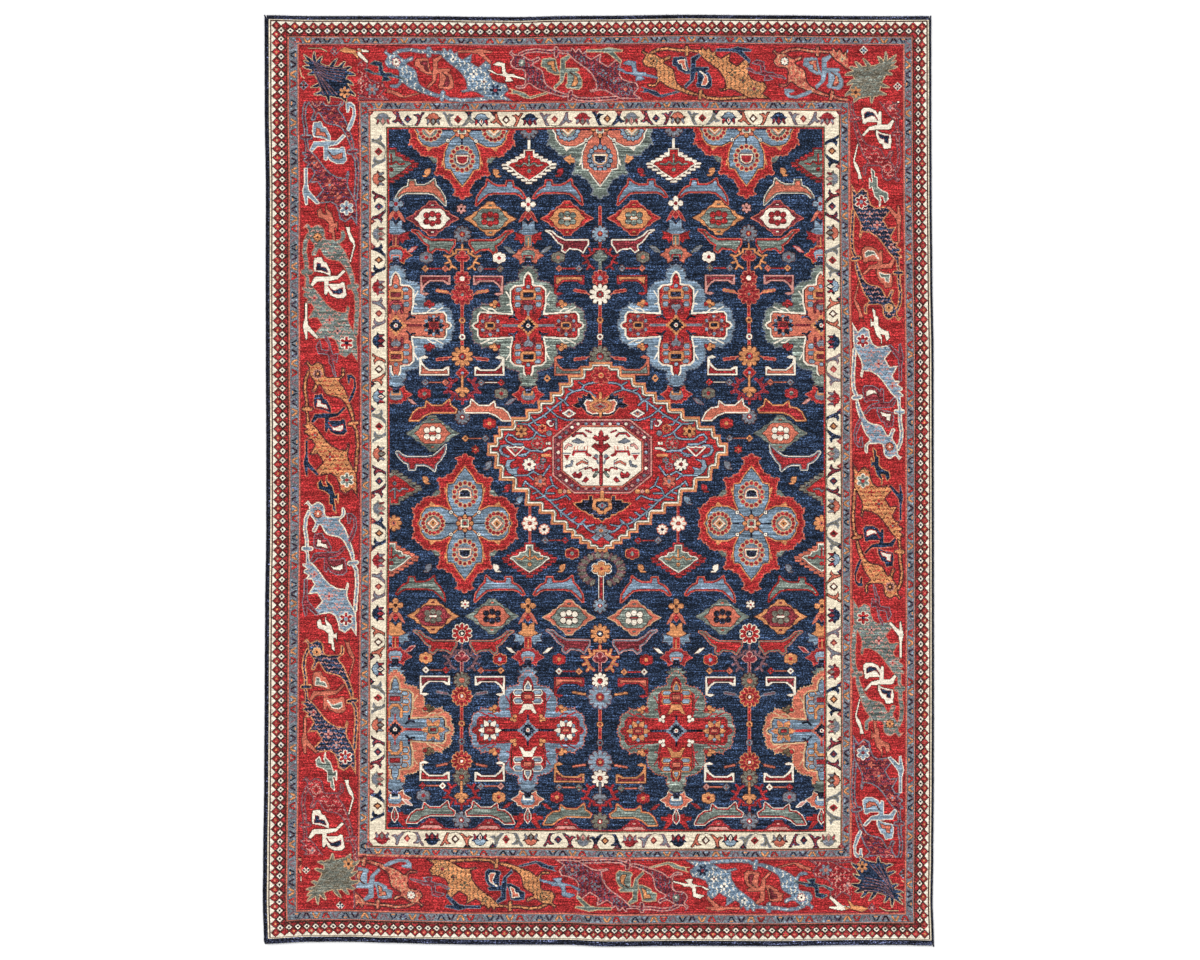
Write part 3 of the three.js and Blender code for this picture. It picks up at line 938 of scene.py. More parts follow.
def toothed_lozenge(body, inner, teeth, scroll):
    motif = patch(brown, TOOTHED, -0.2)
    for ax, ay, bx, by, count in ((7, 10, 25, 0, 5), (24, -3, 1, -18, 6)):
        for k in range(count):
            t = k / (count - 1)
            x, y = ax + (bx - ax) * t, ay + (by - ay) * t
            motif += both(inked(line(teeth, 2.3, [(x - 2.5, y), (x + 1.3, y)]), 0.4))
    motif += layered(TOOTHED, (teeth, -0.7), (brown, -1.8), (inner, -2.3), (body, -3.2))
    motif += both(inked(line(scroll, 1.3, [(0, 9), (0, -1), (5, 2), (8, -1), (13, 0)])))
    return motif + inked(dot(scroll, 0, -6, 1.8)) + dot(night, 0, -6, 0.6)


EYE = four_quarters([(0, 17), (3, 17), (6, 13), (10, 11), (12, 8), (16, 7), (18, 4), (22, 2), (26, 0)])
EYE_HEART = four_quarters([(0, 10), (8, 10), (12, 7), (14, 3), (18, 0)])


def eye_lozenge(body, edge, inner, petal, heart):
    motif = ringed(edge, body, EYE, 0.8) + inked(patch(inner, EYE_HEART), 0.7)
    petals = []
    for x, y in ((-5.8, 3.1), (-5.8, -3.1), (5.8, 3.1), (5.8, -3.1), (0, 4.6), (0, -4.6)):
        petals += dot(petal, x, y, 2.7)
    motif += inked(petals, 0.7) + line(heart, 1.7, [(-3, 0), (3, 0)])
    for y in (13.6, -13.6):
        motif += inked(line(inner, 1.0, [(-1, y), (1, y)]))
    return motif


SADDLE = [
    (-24, -15), (-23, -8), (-18, 0), (-14, 4), (-13, 10), (-8, 6), (-3, 4), (6, 4), (7, 9), (12, 9),
    (13, 3), (18, 1), (22, -3), (25, -8), (23, -8), (20, -5), (15, -3), (6, -3), (-6, -3), (-12, -4),
    (-17, -8), (-21, -12)]
HOUND = [
    (-25, -12), (-21, -4), (-16, 0), (-9, 1), (-8, 7), (-3, 3), (8, 3), (15, 9), (16, 3), (22, -1),
    (21, -4), (-2, -4), (-10, -7), (-16, -12)]
COLT = [
    (-22, 11), (-16, 10), (-11, 5), (-3, 1), (7, 1), (20, 1), (20, -3), (17, -7), (15, -11), (11, -8),
    (1, -7), (-3, -11), (-6, -9), (-5, -4), (-10, -1), (-14, 4), (-17, 8)]


def beast(outline, body, rim, outermost=brown):
    return layered(outline, (outermost, 1.5), (rim, 0.9), (brown, -0.3), (body, -0.7))


BOAT = [(-15, 5), (15, 5), (15, -4), (12, -4), (8, -1), (-5, -1), (-9, -4), (-12, -8), (-13, -12),
        (-9, -12), (-6, -13), (-10, -15), (-15, -13)]
HULL = [(-14, 4), (14, 4), (13, -2), (9, 0), (-6, 0), (-10, -3), (-13, -6)]


def boat(body, rim):
    """A little boat with a curled end, keel up."""
    return inked(patch(rim, BOAT), 0.4) + layered(HULL, (brown, -0.2), (body, -0.9))


def dumbbell(stem, left_yarn, right_yarn):
    motif = inked(line(stem, 1.1, [(-8, 0), (8, 0)]), 0.4)
    for x, yarn in ((-10, left_yarn), (10, right_yarn)):
        motif += inked(patch(yarn, lozenge(3.4, 3.4, x)), 0.6) + dot(night, x, 0, 1.2)
        motif += dot(salmon, x, 0, 0.6)
    return motif


def small_flower(petal, heart, rim=brown):
    return rimmed(rim, beads(6, 4.2, 1.9, petal, petal, 0.7), 0.6) + dot(heart, 0, 0, 1.9)


COMMA = [(-4, -3), (0, -2), (-2, 0), (-1, 3), (2, 4), (4, 4), (4, 0), (1, -4), (-3, -4)]
LEAF = [(-5, 3), (0, 2), (5, -3), (0, -2)]


def comma(yarn):
    return inked(patch(yarn, COMMA))


def little_leaf(yarn, rim):
    return ringed(rim, yarn, LEAF, 0.7)


# The upright columns: blossoms and beaded stems in three of them, lilies above and below the
# broad crosses in the other four, the outermost cut through by the red line round the field.
ANTLERS = [[(0, 14), (0, 9), (6, 9), (6, 6), (11, 3), (15, 1), (12, -3), (11, -7), (6, -10)],
           [(9, 5), (11, 10)], [(13, 2), (18, 3)], [(12, -3), (17, -5)], [(10, -7), (13, -11)]]
TREFOIL = [(0, 8), (3, 6), (1, 2), (5, 4), (7, 1), (4, -2), (1, -2), (1, -14), (-1, -14), (-1, -2),
           (-4, -2), (-7, 1), (-5, 4), (-1, 2), (-3, 6)]


def antlers(yarn, figure, figure_rim, rim=brown, width=1.7):
    motif = []
    for branch in ANTLERS:
        motif += both(line(yarn, width, branch))
    return rimmed(rim, motif, 0.5) + ringed(figure_rim, figure, TREFOIL, 0.8)


def hanging_antlers(*yarns):
    return upside_down(antlers(*yarns))


def leafy_rosette(petals, radius, droop, petal, rim, heart, eye, leaf, leaf_rim):
    twig = [(15, 0.6 * droop), (radius + 14, droop)]
    twigs = line(leaf_rim, 3.4, twig) + line(leaf_rim, 1.4, [(radius, 0), twig[0]]) + line(leaf, 1.8, twig)
    return both(twigs) + rosette(petals, radius, petal, rim, heart, eye)


def beaded_stem(half_length, yarn, rim, bead, other_bead):
    """An upright stem with two beads threaded on it."""
    stem = [(0, half_length), (0, -half_length)]
    motif = line(rim, 3.6, stem) + line(yarn, 1.8, stem)
    for share, bead_yarn in ((0.62, bead), (0.24, other_bead)):
        y = half_length * (2 * share - 1)
        motif += inked(dot(bead_yarn, 0, y, 3.0), 0.6) + dot(night, 0, y, 1.5) + dot(madder, 0, y, 0.8)
    return motif


def beaded_lozenge(rim, yarn, bead):
    return ringed(rim, yarn, lozenge(6, 6), 0.8) + dot(bead, 0, 0, 1.5)


SIDE_COLUMN = [
    (246.5, rosette, 10, 8.5, steel, brown, crimson, orange),
    (222, antlers, orange, crimson, salmon),
    (202, rosette, 9, 8.0, crimson, salmon, ivory),
    (155, beaded_stem, 22, madder, salmon, orange, ivory),
    (186, leafy_rosette, 10, 11.0, 4, crimson, salmon, crimson, teal, orange, salmon),
    (124, leafy_rosette, 10, 11.0, -3, orange, brown, crimson, steel, crimson, salmon),
    (107.5, beaded_lozenge, salmon, madder, sky),
    (91, hanging_antlers, burgundy, orange, brown, madder),
    (63.5, rosette, 10, 7.5, steel, brown, crimson, ivory),
    (-153, rosette, 10, 10.0, madder, cream, night, ivory),
    (-179, antlers, mauve, burgundy, pink, night, 2.2),
    (-200, rosette, 10, 8.5, moss, brown, salmon),
    (-249, beaded_stem, 24, madder, salmon, orange, steel),
    (-216, leafy_rosette, 12, 10.5, 4, crimson, orange, crimson, ivory, mauve, steel),
    (-281, leafy_rosette, 12, 10.5, -5, crimson, orange, crimson, ivory, salmon, brown),
    (-297, rosette, 9, 8.5, moss, brown, crimson, orange),
    (-315, hanging_antlers, madder, orange, brown, burgundy),
    (-340, rosette, 8, 8.5, steel, brown, crimson, ivory)]
MIDDLE_COLUMN = [
    (246.5, rosette, 10, 8.5, sky, brown, crimson, orange),
    (222, antlers, crimson, teal, moss),
    (202, rosette, 9, 8.0, crimson, salmon, sky),
    (155, beaded_stem, 22, madder, salmon, orange, ivory),
    (186, leafy_rosette, 10, 11.0, 4, ivory, brown, crimson, teal, madder, salmon),
    (124, leafy_rosette, 10, 11.0, -3, moss, brown, crimson, steel, crimson, salmon),
    (-153, rosette, 10, 10.0, orange, brown, night, ivory),
    (-179, antlers, orange, burgundy, pink, crimson, 2.2),
    (-200, rosette, 10, 8.5, ivory, brown, crimson),
    (-249, beaded_stem, 24, madder, salmon, orange, steel),
    (-216, leafy_rosette, 12, 12.5, 4, sky, mauve, crimson, orange, orange, brown),
    (-281, leafy_rosette, 12, 12.5, -5, sky, mauve, crimson, orange, salmon, brown),
    (-297, rosette, 9, 8.5, ivory, brown, crimson, orange),
    (-315, hanging_antlers, madder, steel, brown, burgundy),
    (-340, rosette, 8, 8.5, moss, brown, crimson, ivory)]
stem = [(1, 273), (1, 233)]
knot(line(salmon, 3.2, stem) + line(madder, 1.6, stem))
knot(shield_palmette(salmon, ivory, teal, steel, sky, night, orange, orange), 1, 351, within=FIELD)
knot(patch(salmon, [(-11, 310), (13, 310), (1, 297)]))
for x, column in ((-137, SIDE_COLUMN), (150, SIDE_COLUMN), (1, MIDDLE_COLUMN)):
    for y, chart, *look in column:
        knot(chart(*look), x, y, within=FIELD)

PALM = mirrored_outline([(0, 9), (3, 8), (5, 9), (7, 6), (10, 6), (11, 3), (16, 0), (12, -2), (9, -4),
                         (8, -8), (5, -6), (0, -6)])
PALM_DOME = [(-7, 2), (-5, 5), (0, 6), (5, 5), (7, 2), (5, -4), (-5, -4)]
FAN = mirrored_outline([(0, 7), (2, 5), (6, 6), (5, 3), (10, 2), (6, -1), (9, -4), (4, -4), (0, -7)])
WING = [(3, 37), (8, 38), (14, 40), (12, 36), (14, 32), (9, 32), (7, 28), (4, 31)]
FORK = [(-6, 51), (-3, 50), (0, 46), (3, 50), (6, 51), (6, 43), (10, 40), (4, 37), (-4, 37),
        (-10, 40), (-6, 43)]
LAST_LEAF = [(3, 6), (8, 7), (9, 4), (15, 4), (15, 1), (9, 0), (13, -8), (9, -7), (4, -2)]
LAST_BUD = [(0, 12), (3, 5), (3, 1), (0, -3), (-3, 1), (-3, 5)]


def palm(yarn, rim, dome, tongue):
    motif = ringed(rim, yarn, PALM, 0.6) + inked(patch(dome, PALM_DOME), 0.4)
    motif += line(tongue, 1.5, [(-4, -3), (-4, 0), (4, 0), (4, -3)])
    return motif + patch(night, [(-3, -2), (3, -2), (4, -8), (-4, -8)])


def lily_stem(fan, palm_yarns, flower, heart, petals, fork, wings, tube):
    """From the foot up: a fan, a palm, wings, a tube, a fork, drooping petals and a cross flower."""
    motif = inked(patch(fan, FAN)) + shifted(palm(*palm_yarns), 0, 16)
    motif += both(inked(patch(wings, WING)))
    motif += ringed(salmon, tube, block(-3, 26, 3, 36), 0.6) + line(orange, 1.2, [(0, 34), (0, 25)])
    motif += inked(patch(fork, FORK))
    motif += both(ringed(salmon, petals, [(1, 62), (5, 58), (9, 50), (5, 53)], 0.6))
    motif += ringed(salmon, crimson, lozenge(3, 4, 0, 56), 0.6)
    blossom = dot(flower, 0, 72, 2.6) + dot(flower, 0, 63, 2.6) + both(dot(flower, 4.8, 67.5, 2.6))
    return motif + inked(blossom, 0.6) + patch(flower, lozenge(4, 4, 0, 67.5)) + dot(heart, 0, 67.5, 2.0)


def hanging_palm(fan, *palm_yarns):
    """The same palm and fan again, hanging below a cross."""
    return inked(patch(fan, FAN)) + shifted(upside_down(palm(*palm_yarns)), 0, -13)


EDGE_LOOK = {"heart": burgundy, "blade": night, "eye": crimson, "stem": burgundy, "bud": crimson}
LOWER_LOOK = {"ring": crimson, "heart": salmon, "loop": ivory, "cradle": ivory, "blade": ivory,
              "blade_rim": brown, "eye": crimson, "bead": sky, "stem": night, "corner": orange}
LAST_LOOK = {**LOWER_LOOK, "loop": orange, "blade": orange, "cradle": orange, "corner": ivory}
BLUE_CROSS = plus_cross(blue, sand, salmon, sand, ring=steel, heart=crimson, loop=orange,
                        cradle=orange, blade=orange, eye=teal, bead=salmon, stem=madder,
                        bud=olive)
INNER_LILY = ((salmon, brown, teal, crimson), ivory, crimson, crimson, blue, madder, teal)
EDGE_LILY = ((madder, orange, sky, salmon), sky, crimson, salmon, blue, crimson, burgundy)
LOWER_LILY = ((crimson, salmon, sky, salmon), orange, brown, salmon, orange, blue, madder)
LAST_PALM = (both(inked(patch(madder, LAST_LEAF))) + ringed(ivory, crimson, LAST_BUD, 0.7)
             + line(teal, 1.6, [(0, 8), (0, 1)]))
for x, lily, fan, upper_cross, lower_cross, lower_fan in (
        (-203.5, EDGE_LILY, blue, plus_cross(salmon, ivory, blue, steel, **EDGE_LOOK),
         BLUE_CROSS, blue),
        (-71, INNER_LILY, teal, plus_cross(madder, ivory, teal, mauve),
         plus_cross(madder, crimson, blue, salmon, **LOWER_LOOK), blue),
        (77, INNER_LILY, blue, plus_cross(madder, ivory, blue, steel),
         plus_cross(madder, crimson, teal, salmon, **LAST_LOOK), teal),
        (222, EDGE_LILY, teal, plus_cross(salmon, ivory, teal, steel, **EDGE_LOOK),
         BLUE_CROSS, teal)):
    for y, motif in (
            (209, lily_stem(fan, *lily)), (155, upper_cross),
            (99, hanging_palm(fan, madder, salmon, steel, orange)),
            (-193, lily_stem(lower_fan, *LOWER_LILY)), (-250, lower_cross),
            (-306, hanging_palm(lower_fan, salmon, cream, blue, ivory)), (-340, LAST_PALM)):
        knot(motif, x, y, within=FIELD)

# What stands between the columns. Each row gives how far left and right of the middle the two
# copies of a motif are, their height and its look. The left copy is the motif as charted, or
# turned over, and the right one its mirror image.
def in_pairs(chart, rows, *turnings):
    """Ties both copies for every row, after turning the motif as it lies."""
    for left_x, right_x, y, *look in rows:
        motif = chart(*look)
        for turning in turnings:
            motif = turning(motif)
        knot(motif, left_x, y, within=FIELD)
        knot(motif, right_x, y, flip=True, within=FIELD)


in_pairs(line, [(-70, 75, 332, ivory, 2.8, [(0, 0), (0, 8)]),
                (-69.5, 79, -62, salmon, 2.8, [(0, 0), (0, 37)]),
                (-69.5, 79, -62, crimson, 1.5, [(0, 0), (0, 37)])])
in_pairs(rosette, [
    (-70, 75, 351, 10, 9.0, steel, brown, madder), (-69.5, 79, -43, 8, 7.5, ivory, salmon, crimson, salmon),
    (-206, 222, -43, 8, 8.0, orange, brown, salmon, night)])
SHIELD_YARNS = (blue, orange, madder, salmon, crimson, sand)
in_pairs(shield_palmette, [(-137, 148, 351, *SHIELD_YARNS, brown, teal, crimson),
                           (-134.5, 152, -43, *SHIELD_YARNS, salmon, teal)])
in_pairs(toothed_lozenge, [
    (-70, 75, 316, madder, madder, ivory, teal), (-69.5, 79, -78, teal, ivory, crimson, orange),
    (-208, 220, 317, teal, teal, crimson, madder), (-208, 222, -77, teal, ivory, salmon, madder)])
in_pairs(toothed_lozenge, [(-205, 227, -9, madder, madder, moss, steel)], upside_down)
in_pairs(beast, [
    (-99, 105, 291, SADDLE, blue, madder, salmon), (-100, 111, -106, SADDLE, blue, madder, salmon),
    (-165, 181, 72, HOUND, crimson, orange), (-166, 181, -331, HOUND, teal, madder, ivory),
    (-30, 33, -332, HOUND, teal, orange, madder), (-165, 178, 239, COLT, teal, madder, salmon),
    (-31, 33, 239, COLT, burgundy, ivory), (-163, 180, -162, COLT, madder, moss, salmon),
    (-30, 35, -161, COLT, burgundy, steel, pink)])
in_pairs(beast, [
    (-41, 43, 291, SADDLE, blue, madder, salmon), (-178, 190, 291, SADDLE, salmon, moss, ivory),
    (-40, 46, -106, SADDLE, blue, madder, salmon), (-178, 193, -106, SADDLE, teal, madder),
    (-113, 128, 72, HOUND, salmon, ivory), (-110, 121, -331, HOUND, teal, madder, ivory),
    (-109, 122, 239, COLT, teal, madder, salmon), (-108, 122, -162, COLT, madder, moss, salmon)],
    flipped)
in_pairs(beast, [(-178, 195, 20, SADDLE, crimson, steel, ivory)], flipped, upside_down)
LAST_EYE_YARNS = (crimson, burgundy, pink, madder, pink)
in_pairs(eye_lozenge, [
    (-167, 179, 262, burgundy, salmon, ivory, crimson, ivory),
    (-109, 120, 262, orange, brown, teal, madder, teal),
    (-32, 35, 262, madder, salmon, orange, teal, ivory),
    (-167, 181, 47, teal, moss, salmon, ivory, crimson),
    (-166, 181, -136, orange, brown, burgundy, moss, ivory),
    (-107, 123, -136, teal, moss, salmon, night, orange),
    (-30, 35, -137, salmon, sand, teal, ivory, crimson),
    (-167, 179, -356, *LAST_EYE_YARNS), (-110, 119, -356, *LAST_EYE_YARNS),
    (-33, 35, -356, *LAST_EYE_YARNS)])
in_pairs(dumbbell, [
    (-164, 179, 212, madder, orange, salmon), (-109, 121, 212, madder, steel, moss),
    (-30, 33, 212, madder, salmon, steel), (-164, 181, 98, salmon, steel, salmon),
    (-108, 120, 98, ivory, steel, madder), (-124, 140, 42, salmon, orange, steel),
    (-44, 49, -60, crimson, steel, crimson), (-163, 181, -190, salmon, ivory, madder),
    (-108, 120, -190, crimson, salmon, orange), (-30, 35, -191, crimson, ivory, orange),
    (-166, 180, -306, salmon, crimson, ivory), (-108, 117, -306, salmon, steel, pink),
    (-30, 32, -307, salmon, steel, teal)])
in_pairs(boat, [(-164, 180, 200, burgundy, pink), (-30, 33, 200, orange, crimson),
                (-164, 181, -201, burgundy, ivory), (-30, 34, -202, salmon, crimson)])
in_pairs(boat, [(-111, 121, 200, burgundy, pink), (-109, 121, -201, burgundy, ivory)], flipped)
in_pairs(boat, [(-165, 181, 110, salmon, ivory), (-30, 35, 110, teal, salmon),
                (-164, 179, -296, crimson, ivory), (-30, 32, -297, burgundy, orange)], upside_down)
in_pairs(boat, [(-110, 123, 110, crimson, ivory), (-109, 120, -296, crimson, ivory)],
         flipped, upside_down)
in_pairs(comma, [(-173, 186, 308, orange), (-40, 43, 308, crimson), (-38, 43, -88, orange),
                 (-172, 190, -88, steel), (-112, 129, 15, steel), (-93, 106, -8, crimson),
                 (-81, 89, -20, blue)])
in_pairs(comma, [(-102, 112, 308, orange), (-173, 193, 0, orange), (-102, 115, -88, ivory)], flipped)
in_pairs(patch, [(-32, 31, 321, orange, [(-4, 1), (4, 5), (3, -5)]),
                 (-52, 56, 102, orange, lozenge(3.6, 4))])
in_pairs(dot, [(-52, 56, 102, night, 0, 0, 1.3)])
in_pairs(small_flower, [
    (-173, 190, 223, steel, crimson), (-100, 110, 223, ivory, crimson),
    (-41, 44, 223, moss, salmon), (-175, 192, 87, crimson, teal), (-98, 109, 87, moss, crimson),
    (-173, 191, -178, orange, crimson), (-99, 111, -179, madder, sky, orange),
    (-40, 47, -179, madder, orange), (-175, 190, -316, steel, crimson),
    (-100, 109, -317, orange, crimson), (-42, 44, -317, crimson, orange),
    (-110, 127, 57, madder, orange), (-27, 33, -73, crimson, teal, orange)])
in_pairs(rosette, [
    (-55, 63, -49, 9, 5.0, ivory, salmon, night), (-124, 139, 31, 6, 3.6, madder, brown, orange),
    (-134, 151, -124, 6, 4.2, ivory, brown, crimson), (-138, 148, 272, 6, 4.6, pink, brown, brown)])
in_pairs(little_leaf, [
    (-90, 98, 231, steel, moss), (-188, 207, 79, pink, brown), (-88, 100, -170, ivory, brown),
    (-191, 202, -323, pink, ivory), (-52, 56, -326, crimson, brown)])
in_pairs(little_leaf, [
    (-187, 200, 231, pink, madder), (-53, 56, 231, steel, moss), (-89, 99, 79, steel, mauve),
    (-189, 204, -169, crimson, pink), (-51, 59, -170, ivory, brown),
    (-91, 97, -325, crimson, brown)], flipped)

# The medallion, in the middle of the field: a stepped madder hexagon with twigs and creatures, a
# spotted wine ring inside it, and an ivory heart with a tree. The weaver let it drift a little.
STEPS = [
    (11, 118), (20, 114), (33, 105), (43, 97), (53, 88), (66, 80), (79, 71), (94, 63), (108, 54),
    (113, 45), (120, 37), (112, 25), (106, 12), (92, 0), (78, -11), (63, -25), (50, -33), (37, -44),
    (29, -52), (21, -58), (13, -63), (6, -68), (0, -71)]
half = []
for (step, top), (_, bottom) in zip(STEPS, STEPS[1:]):
    half += [(step, top), (step, bottom)]
STEPPED = [(x + 8.8 - min(abs(y - 33) * 0.09, 7.0), y) for x, y in mirrored_outline(half)]
knot(layered(STEPPED, (salmon, 0.6), (orange, 0), (brown, -1.7), (ivory, -2.3), (teal, -3.4),
             (brown, -4.3), (madder, -4.9)))


def on_both_sides(motif, x=0, y=0):
    """A motif left of the medallion's middle, and its mirror image, woven a little wider."""
    knot(motif, x, y)
    knot(motif, 6 - 1.08 * x, y, flip=True, size=(1.08, 1.0))


def twig(points, thorns, width=1.4):
    motif = line(sky, width, points)
    for thorn in thorns:
        motif += line(sky, 1.1, thorn)
    return rimmed(night, motif, 0.8)


SCROLL = [(-84, 21), (-92, 20), (-94, 14), (-91, 8), (-86, 5), (-82, 6), (-83, 10), (-81, 13), (-85, 12),
          (-88, 11), (-90, 14), (-89, 18)]
on_both_sides(twig(
    [(-3, 98), (-10, 97), (-15, 95), (-17, 91), (-25, 89), (-31, 86), (-34, 80)],
    [[(-15, 95), (-20, 98)], [(-17, 91), (-9, 88), (-4, 84)], [(-25, 89), (-30, 91)]]))
on_both_sides(twig(
    [(-31, 75), (-36, 80), (-39, 78), (-49, 70), (-55, 65), (-62, 61), (-71, 56), (-63, 48), (-66, 43),
     (-71, 41), (-82, 41), (-87, 45), (-91, 46), (-94, 42), (-92, 39), (-86, 36), (-77, 36)],
    [[(-36, 80), (-40, 82)], [(-39, 77), (-39, 70)], [(-49, 70), (-52, 73)], [(-56, 65), (-53, 63)],
     [(-49, 70), (-42, 64), (-37, 62), (-31, 60), (-24, 61)], [(-65, 59), (-68, 63)],
     [(-65, 59), (-63, 56), (-58, 55)], [(-71, 56), (-81, 57)], [(-63, 48), (-59, 45), (-54, 44)]]))
on_both_sides(twig([(-89, 33), (-92, 35), (-98, 34), (-99, 30), (-97, 26), (-91, 24)], [], 2.0))
on_both_sides(twig([(-76, 33), (-69, 30), (-56, 29)],
                   [[(-69, 30), (-72, 27), (-80, 25)], [(-73, 25), (-78, 24)]]))
on_both_sides(ringed(night, sky, SCROLL, 0.7) + twig(
    [(-85, 5), (-72, 5), (-66, 9), (-61, 6), (-56, 5), (-50, 14)], [[(-71, 5), (-66, 1)]]))
on_both_sides(twig(
    [(-76, -5), (-74, -1), (-70, -5), (-63, -9), (-55, -16), (-50, -20), (-39, -31), (-28, -40),
     (-21, -44), (-16, -43), (-12, -48), (-8, -51), (-3, -52), (-1, -55)],
    [[(-60, -11), (-66, -13)], [(-55, -16), (-63, -18)], [(-55, -16), (-52, -8), (-46, -5), (-49, 3)],
     [(-46, -5), (-42, -8)], [(-53, -13), (-45, -13)], [(-50, -20), (-42, -19), (-33, -15), (-29, -19)],
     [(-45, -26), (-41, -24)], [(-39, -31), (-34, -28)], [(-39, -31), (-38, -36)],
     [(-33, -36), (-28, -32)], [(-27, -40), (-23, -37)], [(-18, -43), (-14, -39)],
     [(-20, -44), (-22, -48)], [(-13, -46), (-5, -44)], [(-8, -51), (0, -50)]]))
on_both_sides(rimmed(night, patch(sky, lozenge(4.5, 3.5)) + dot(steel, 0, 0, 1.6), 0.6), -3, -57)
CROWN = ringed(ivory, crimson, [(-8, 3), (-3, 2), (0, 3), (3, 2), (8, 3), (0, -5)], 1.3)
on_both_sides(rimmed(night, CROWN, 0.5) + patch(teal, [(-3, 1), (3, 1), (0, -2)]), -84, 30)
for yarn, rim, heart, petals, x, y, size in (
        (ivory, night, burgundy, 8, -70, 16, 6.5), (salmon, brown, steel, 6, -59, -1, 6.0),
        (orange, brown, brown, 6, -78, 49, 6.0), (crimson, teal, pink, 8, -62, 37, 5.5),
        (steel, brown, crimson, 6, -56, 20, 3.0), (crimson, steel, steel, 6, -59, 14, 3.0),
        (crimson, moss, salmon, 6, -65, 23, 3.0), (crimson, orange, brown, 6, -57, 52, 3.4)):
    on_both_sides(rosette(petals, size, yarn, rim, heart), x, y)
for yarn, x, y, size in ((orange, -39, -11, 2.2), (pink, -34.5, -11, 1.8), (orange, -30, -11, 2.2),
                         (steel, -50, 47, 2.6), (ivory, -52, 37, 1.4), (ivory, -50, 37, 1.4)):
    on_both_sides(inked(dot(yarn, 0, 0, size), 0.6), x, y)
on_both_sides(rimmed(night, line(ivory, 2.2, [(-4, -1), (0, 1), (4, 1)]), 0.7), -51, 31)
on_both_sides(line(orange, 2.4, [(-57, 25), (-49, 25)]))
ear = line(ivory, 5.0, [(-50, 58), (-48, 56)]) + line(steel, 1.6, [(-46, 61), (-43, 61), (-43, 52)])
on_both_sides(rimmed(night, ear, 0.7) + dot(burgundy, -48, 57, 2.3))
on_both_sides(ringed(night, ivory, lozenge(7, 4.4), 0.6) + patch(steel, lozenge(4.6, 2.8))
              + dot(salmon, 0, 0, 1.7) + dot(night, 0, 1, 0.9), -30, 67)

# The spotted ring round the ivory heart, its spots set one by one in four yarns, with the
# palmettes and rosettes that stand above and below it.
RING = four_quarters([(0, 37), (28, 37), (50, 19), (50, 0)])
IVORY_HEART = four_quarters([(0, 29), (20, 29), (39, 14), (39, 0)])
knot(layered(RING, (brown, 0.5), (pink, 0), (burgundy, -1.3), (mauve, -2.8), (burgundy, -3.6))
     + layered(IVORY_HEART, (salmon, 1.8), (brown, 0.8), (ivory, 0)), 3, 24)
spots = [(x, y) for x in range(-24, 25, 8) for y in (32.5, -32.5)]
down_the_side = [(30, 29), (36, 24), (42, 19), (44, 12), (44, 4)]
down_the_side += [(x, -y) for x, y in reversed(down_the_side)]
spots += down_the_side + [(-x, y) for x, y in down_the_side]
for place, (x, y) in enumerate(spots):
    knot(inked(dot((ivory, steel, sky, pink)[place % 4], 0, 0, 1.5)), x + 3, y + 24)
FEATHERED = mirrored_outline([
    (0, 5), (8, 9), (12, 13), (14, 9), (18, 11), (18, 7), (23, 8), (22, 3), (28, 0), (23, -3),
    (19, -2), (16, -5), (13, -9), (6, -11), (0, -10)])
GLOWING = mirrored_outline([(0, 6), (9, 5), (14, 6), (17, 2), (15, -1), (14, -6), (8, -9), (0, -8)])
horns = line(orange, 2.4, [(0, 12), (0, 5), (6, 4), (10, 1), (9, -3), (4, -5), (0, -7), (0, -11)])
horns += line(orange, 1.6, [(4, 5), (8, 9)])
knot(ringed(salmon, night, FEATHERED, 0.7) + patch(ivory, GLOWING) + patch(salmon, GLOWING, -1.0)
     + both(inked(horns)) + patch(teal, lozenge(6, 3.2, 0, -1))
     + patch(crimson, lozenge(4, 2.0, 0, -1)), 1.5, 75)
STEPPED_BELOW = mirrored_outline([
    (0, 5), (10, 5), (10, 9), (13, 9), (13, 5), (20, 5), (20, 3), (28, 2), (24, -2), (20, -5), (16, -6),
    (13, -9), (9, -9), (8, -12), (3, -13), (0, -16)])
horns = line(orange, 3.0, [(0, 13), (0, 6), (7, 5), (8, 1), (8, -3), (4, -4), (3, -7), (0, -7)])
knot(ringed(orange, night, STEPPED_BELOW, 0.9) + both(inked(horns, 0.6))
     + patch(steel, lozenge(5, 3.4)) + dot(crimson, 0, 0, 1.3), 3, -25)
knot(rosette(8, 9.0, crimson, salmon, orange, madder), 2, 105)
knot(rosette(8, 6.5, steel, brown, orange, crimson), 2, -50)

# The ivory heart: a stepped tree, with a bird, a comb-backed beast and leaves on its left, and
# the same again on its right, mirrored and moved over by four squares.
TREE_TOP = mirrored_outline([
    (0, 26), (2, 23), (2, 19), (6, 21), (8, 18), (5, 16), (2, 16), (2, 11), (6, 13), (9, 10), (5, 7),
    (2, 5), (0, 2)])
ROBIN = [(-27, 6), (-24, 9), (-22, 6), (-18, 9), (-17, 5), (-19, 2), (-25, 3)]
bough = dot(steel, 5, 0, 2.4) + line(crimson, 2.0, [(8, -1), (5, -3)])
bough += line(steel, 2.2, [(4, -4), (3, -7)])
bough += inked(line(teal, 2.6, [(4, -16), (7, -20)]) + line(crimson, 1.8, [(4, -13), (8, -14)]))
tree = inked(patch(crimson, TREE_TOP) + line(crimson, 3.2, [(0, 0), (0, -27)]), 0.7)
knot(tree + both(bough), 2, 24)
comb_backed = line(crimson, 2.8, [(-26, 26), (-25, 29), (-13, 29), (-12, 26), (-9, 25)])
comb_backed += line(steel, 0.9, [(-24, 30), (-14, 30)])
for x in (-25, -22, -15, -12):
    comb_backed += line(salmon, 1.0, [(x, 30), (x + 0.5, 34)])
